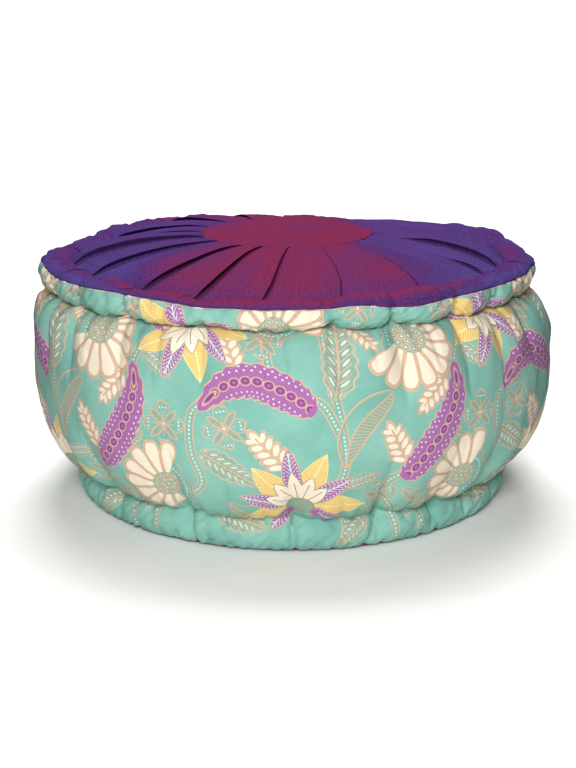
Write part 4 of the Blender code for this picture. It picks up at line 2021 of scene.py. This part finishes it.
@dataclass
class GrooveStitches:
    """The short double threads that pull each groove in, laid by Geometry Nodes on marked points."""

    band: SideBand
    thread: float = 0.00045
    reach: float = 0.0026
    strands: int = 2
    seed: int = 5

    def marks(self) -> Thing:
        """A mesh of points, with the way and the length of the thread at each."""
        places, ways, spans = [], [], []
        skin = self.band.skin
        for stitches, groove in ((TOP_STITCHES, skin.top_groove), (FOOT_STITCHES, skin.foot_groove)):
            for stitch in stitches:
                for strand in range(self.strands):
                    angle = np.array([math.radians(stitch.angle) + (strand - 0.5) * 0.006])
                    ends = np.array([groove - self.reach, groove + self.reach])
                    upper, lower = settled(skin.place(angle, ends, self.band.relief(angle, ends)))
                    gone = lower - upper
                    places.append((upper + lower) / 2)
                    spans.append(float(np.linalg.norm(gone)))
                    ways.append(gone / spans[-1])
        mesh = bpy.data.meshes.new("stitch_marks")
        mesh.from_pydata([tuple(p) for p in places], [], [])
        way = mesh.attributes.new("way", "FLOAT_VECTOR", "POINT")
        way.data.foreach_set("vector", np.array(ways, np.float32).ravel())
        span = mesh.attributes.new("span", "FLOAT", "POINT")
        span.data.foreach_set("value", np.array(spans, np.float32))
        return linked("stitch_marks", mesh)

    def tree(self) -> Tree:
        """The node tree: a bowed thread on every point, scaled to its span."""
        made = bpy.data.node_groups.new("groove_stitches", "GeometryNodeTree")
        sockets = (
            ("Geometry", "NodeSocketGeometry"),
            ("Thread Radius", "NodeSocketFloat"),
            ("Bow", "NodeSocketFloat"),
            ("Unevenness", "NodeSocketFloat"),
            ("Seed", "NodeSocketInt"),
            ("Thread", "NodeSocketMaterial"),
        )
        for name, kind in sockets:
            made.interface.new_socket(name, in_out="INPUT", socket_type=kind)
        made.interface.new_socket("Geometry", in_out="OUTPUT", socket_type="NodeSocketGeometry")
        board = Board(made)
        given = board.node("NodeGroupInput")
        want = {name: given.outputs[name] for name, _ in sockets}
        bow = board.node("ShaderNodeCombineXYZ", {"X": want["Bow"]})
        ends = {"Resolution": 8, "Start": (0.0, 0.0, -0.5), "End": (0.0, 0.0, 0.5)}
        line = board.node("GeometryNodeCurveQuadraticBezier", {**ends, "Middle": bow.outputs[0]})
        read = "GeometryNodeInputNamedAttribute"
        way = board.node(read, {"Name": "way"}, data_type="FLOAT_VECTOR").outputs["Attribute"]
        span = board.node(read, {"Name": "span"}, data_type="FLOAT").outputs["Attribute"]
        turn = board.node("FunctionNodeAlignRotationToVector", {"Vector": way}, axis="Z")
        longest = board.math("ADD", Wire(board, want["Unevenness"]), 1.0)
        draw = {"Min_001": 1.0, "Max_001": longest, "Seed": want["Seed"]}
        chance = board.node("FunctionNodeRandomValue", draw, data_type="FLOAT").outputs
        drawn = next(socket for socket in chance if socket.identifier == "Value_001")
        size = board.math("MULTIPLY", Wire(board, span), Wire(board, drawn))
        lay = {"Points": want["Geometry"], "Instance": line.outputs["Curve"]}
        lay |= {"Rotation": turn.outputs["Rotation"], "Scale": size}
        laid = board.node("GeometryNodeInstanceOnPoints", lay).outputs["Instances"]
        real = board.node("GeometryNodeRealizeInstances", {"Geometry": laid}).outputs["Geometry"]
        rim = {"Resolution": 6, "Radius": want["Thread Radius"]}
        circle = board.node("GeometryNodeCurvePrimitiveCircle", rim).outputs["Curve"]
        shape = {"Curve": real, "Profile Curve": circle, "Fill Caps": True}
        tube = board.node("GeometryNodeCurveToMesh", shape).outputs["Mesh"]
        dressed = board.node("GeometryNodeSetMaterial", {"Geometry": tube, "Material": want["Thread"]})
        board.join(dressed.outputs["Geometry"], board.node("NodeGroupOutput").inputs["Geometry"])
        return made

    def build(self, material: Material) -> Thing:
        """Runs the tree and keeps its result as a plain mesh.

        Args:
            material: The thread.

        Returns:
            The finished piece, before it is tied to the frame.
        """
        marks = self.marks()
        tree = self.tree()
        modifier = marks.modifiers.new("stitches", "NODES")
        modifier.node_group = tree
        chosen = {
            "Thread Radius": self.thread,
            "Bow": 0.0,
            "Unevenness": 0.25,
            "Seed": self.seed,
            "Thread": material,
        }
        for item in tree.interface.items_tree:
            if item.in_out == "INPUT" and item.name in chosen:
                modifier[item.identifier] = chosen[item.name]
        bpy.context.view_layer.update()
        graph = bpy.context.evaluated_depsgraph_get()
        mesh = bpy.data.meshes.new_from_object(marks.evaluated_get(graph))
        bpy.data.objects.remove(marks)
        mesh.name = "groove_stitches"
        mesh.shade_smooth()
        return new_object("groove_stitches", mesh, material)


@dataclass
class Studio:
    """The floor, the soft lights and the camera."""

    distance: float = 1.25
    height: float = 0.403
    aside: float = -0.0026
    pitch: float = math.radians(14.55)
    lens: float = 76.8
    half_floor: float = 4.0
    cove: float = 1.2
    flag_places: Point2 = (-0.31, 0.30)

    def floor(self) -> Thing:
        """A pale floor that curves up behind."""
        line = [(-self.half_floor, 0.0), (2.0, 0.0)]
        bends = np.linspace(0.1, math.pi / 2, 14)
        line += [(2.0 + self.cove * math.sin(a), self.cove - self.cove * math.cos(a)) for a in bends]
        line.append((2.0 + self.cove, 5.0))
        points = [(x, y, z) for y, z in line for x in (-self.half_floor, self.half_floor)]
        faces = [(2 * i, 2 * i + 1, 2 * i + 3, 2 * i + 2) for i in range(len(line) - 1)]
        mesh = bpy.data.meshes.new("studio_floor")
        mesh.from_pydata(points, [], faces)
        mesh.shade_smooth()
        made, board, shader = principled("studio_paper", {"Roughness": 0.9})
        place = board.node("ShaderNodeTexCoord").outputs["Object"]
        grain = board.noise(place, 40.0, 3.0)
        board.join(board.mix(srgb("f4f3f1"), srgb("f8f7f5"), grain), shader.inputs["Base Color"])
        return new_object("studio_floor", mesh, made)

    def light(self, name: str, place: Sequence[float], size: float, watts: float, aim: float = 0.1) -> None:
        """A square soft light that looks at the cushion.

        Args:
            name: The light's name.
            place: Where it stands.
            size: Its side.
            watts: Its power.
            aim: Height on the cushion's axis that it looks at.
        """
        data = bpy.data.lights.new(name, "AREA")
        data.size = size
        data.energy = watts
        made = linked(name, data)
        x, y, z = place
        flat = math.hypot(x, y)
        made.location = place
        made.rotation_euler = (math.atan2(flat, z - aim), 0.0, math.atan2(-x, y) + math.pi)

    def flags(self) -> Thing:
        """Two black cards beside the cushion, unseen, that keep some of the floor's glow off its sides."""
        corners = ((-0.5, 0.0), (0.5, 0.0), (0.5, 0.5), (-0.5, 0.5))
        points = [(x, y, z) for x in self.flag_places for y, z in corners]
        mesh = bpy.data.meshes.new("studio_flags")
        mesh.from_pydata(points, [], [(0, 1, 2, 3), (4, 5, 6, 7)])
        felt = {"Base Color": (0.01, 0.01, 0.01, 1.0), "Specular IOR Level": 0.0}
        made, _, _ = principled("flag_felt", felt)
        cards = new_object("studio_flags", mesh, made)
        cards.visible_camera = cards.visible_shadow = False
        return cards

    def camera(self) -> None:
        """The camera, where the photograph was taken from."""
        data = bpy.data.cameras.new("view")
        data.lens = self.lens
        data.sensor_width = 36.0
        made = linked("view", data)
        made.location = (self.aside, -self.distance, self.height)
        made.rotation_euler = (math.pi / 2 - self.pitch, 0.0, 0.0)
        bpy.context.scene.camera = made

    def build(self) -> tuple[Thing, Thing]:
        """Sets the studio up, and returns its floor and its flags."""
        world = bpy.data.worlds.new("studio")
        world.use_nodes = True
        glow = world.node_tree.nodes["Background"].inputs
        glow["Color"].default_value = (1.0, 1.0, 1.0, 1.0)
        glow["Strength"].default_value = 0.08
        bpy.context.scene.world = world
        bpy.context.scene.view_settings.view_transform = "Standard"
        self.light("key", (-0.12, -1.9, 1.0), 0.7, 40.0)
        self.light("top", (-0.1, 0.1, 2.2), 1.0, 5.0)
        self.light("backdrop", (0.0, 1.5, 2.6), 1.6, 92.0, aim=-6.0)
        self.camera()
        return self.floor(), self.flags()


def tie(piece: Thing, node: str) -> None:
    """Ties a cloth piece to the frame.

    Args:
        piece: The finished piece.
        node: The CAD node that it replaces.
    """
    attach(piece, BODY)
    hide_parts(node)
    LOG.info("%s: %d points, %d faces", piece.name, len(piece.data.vertices), len(piece.data.polygons))


def main() -> None:
    """Builds the pieces in order."""
    logging.basicConfig(level=logging.INFO, format="%(name)s: %(message)s")
    band = SideBand()
    tie(band.build(PrintPlan(), PrintedCotton().build()), "printed_drum")
    top = PleatedTop()
    tie(top.build(ShotSilk("pleat_silk").build()), "pleated_top")
    disc = TopDisc()
    tie(disc.build(ShotSilk("disc_silk").build()), "top_disc")
    base = BasePanel()
    tie(base.build(ShotSilk("base_silk").build()), "base_panel")
    stitches = GrooveStitches(band).build(Thread().build())
    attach(stitches, BODY)
    LOG.info("%s: %d faces", stitches.name, len(stitches.data.polygons))
    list(Studio().build())


if __name__ == "__main__":
    main()
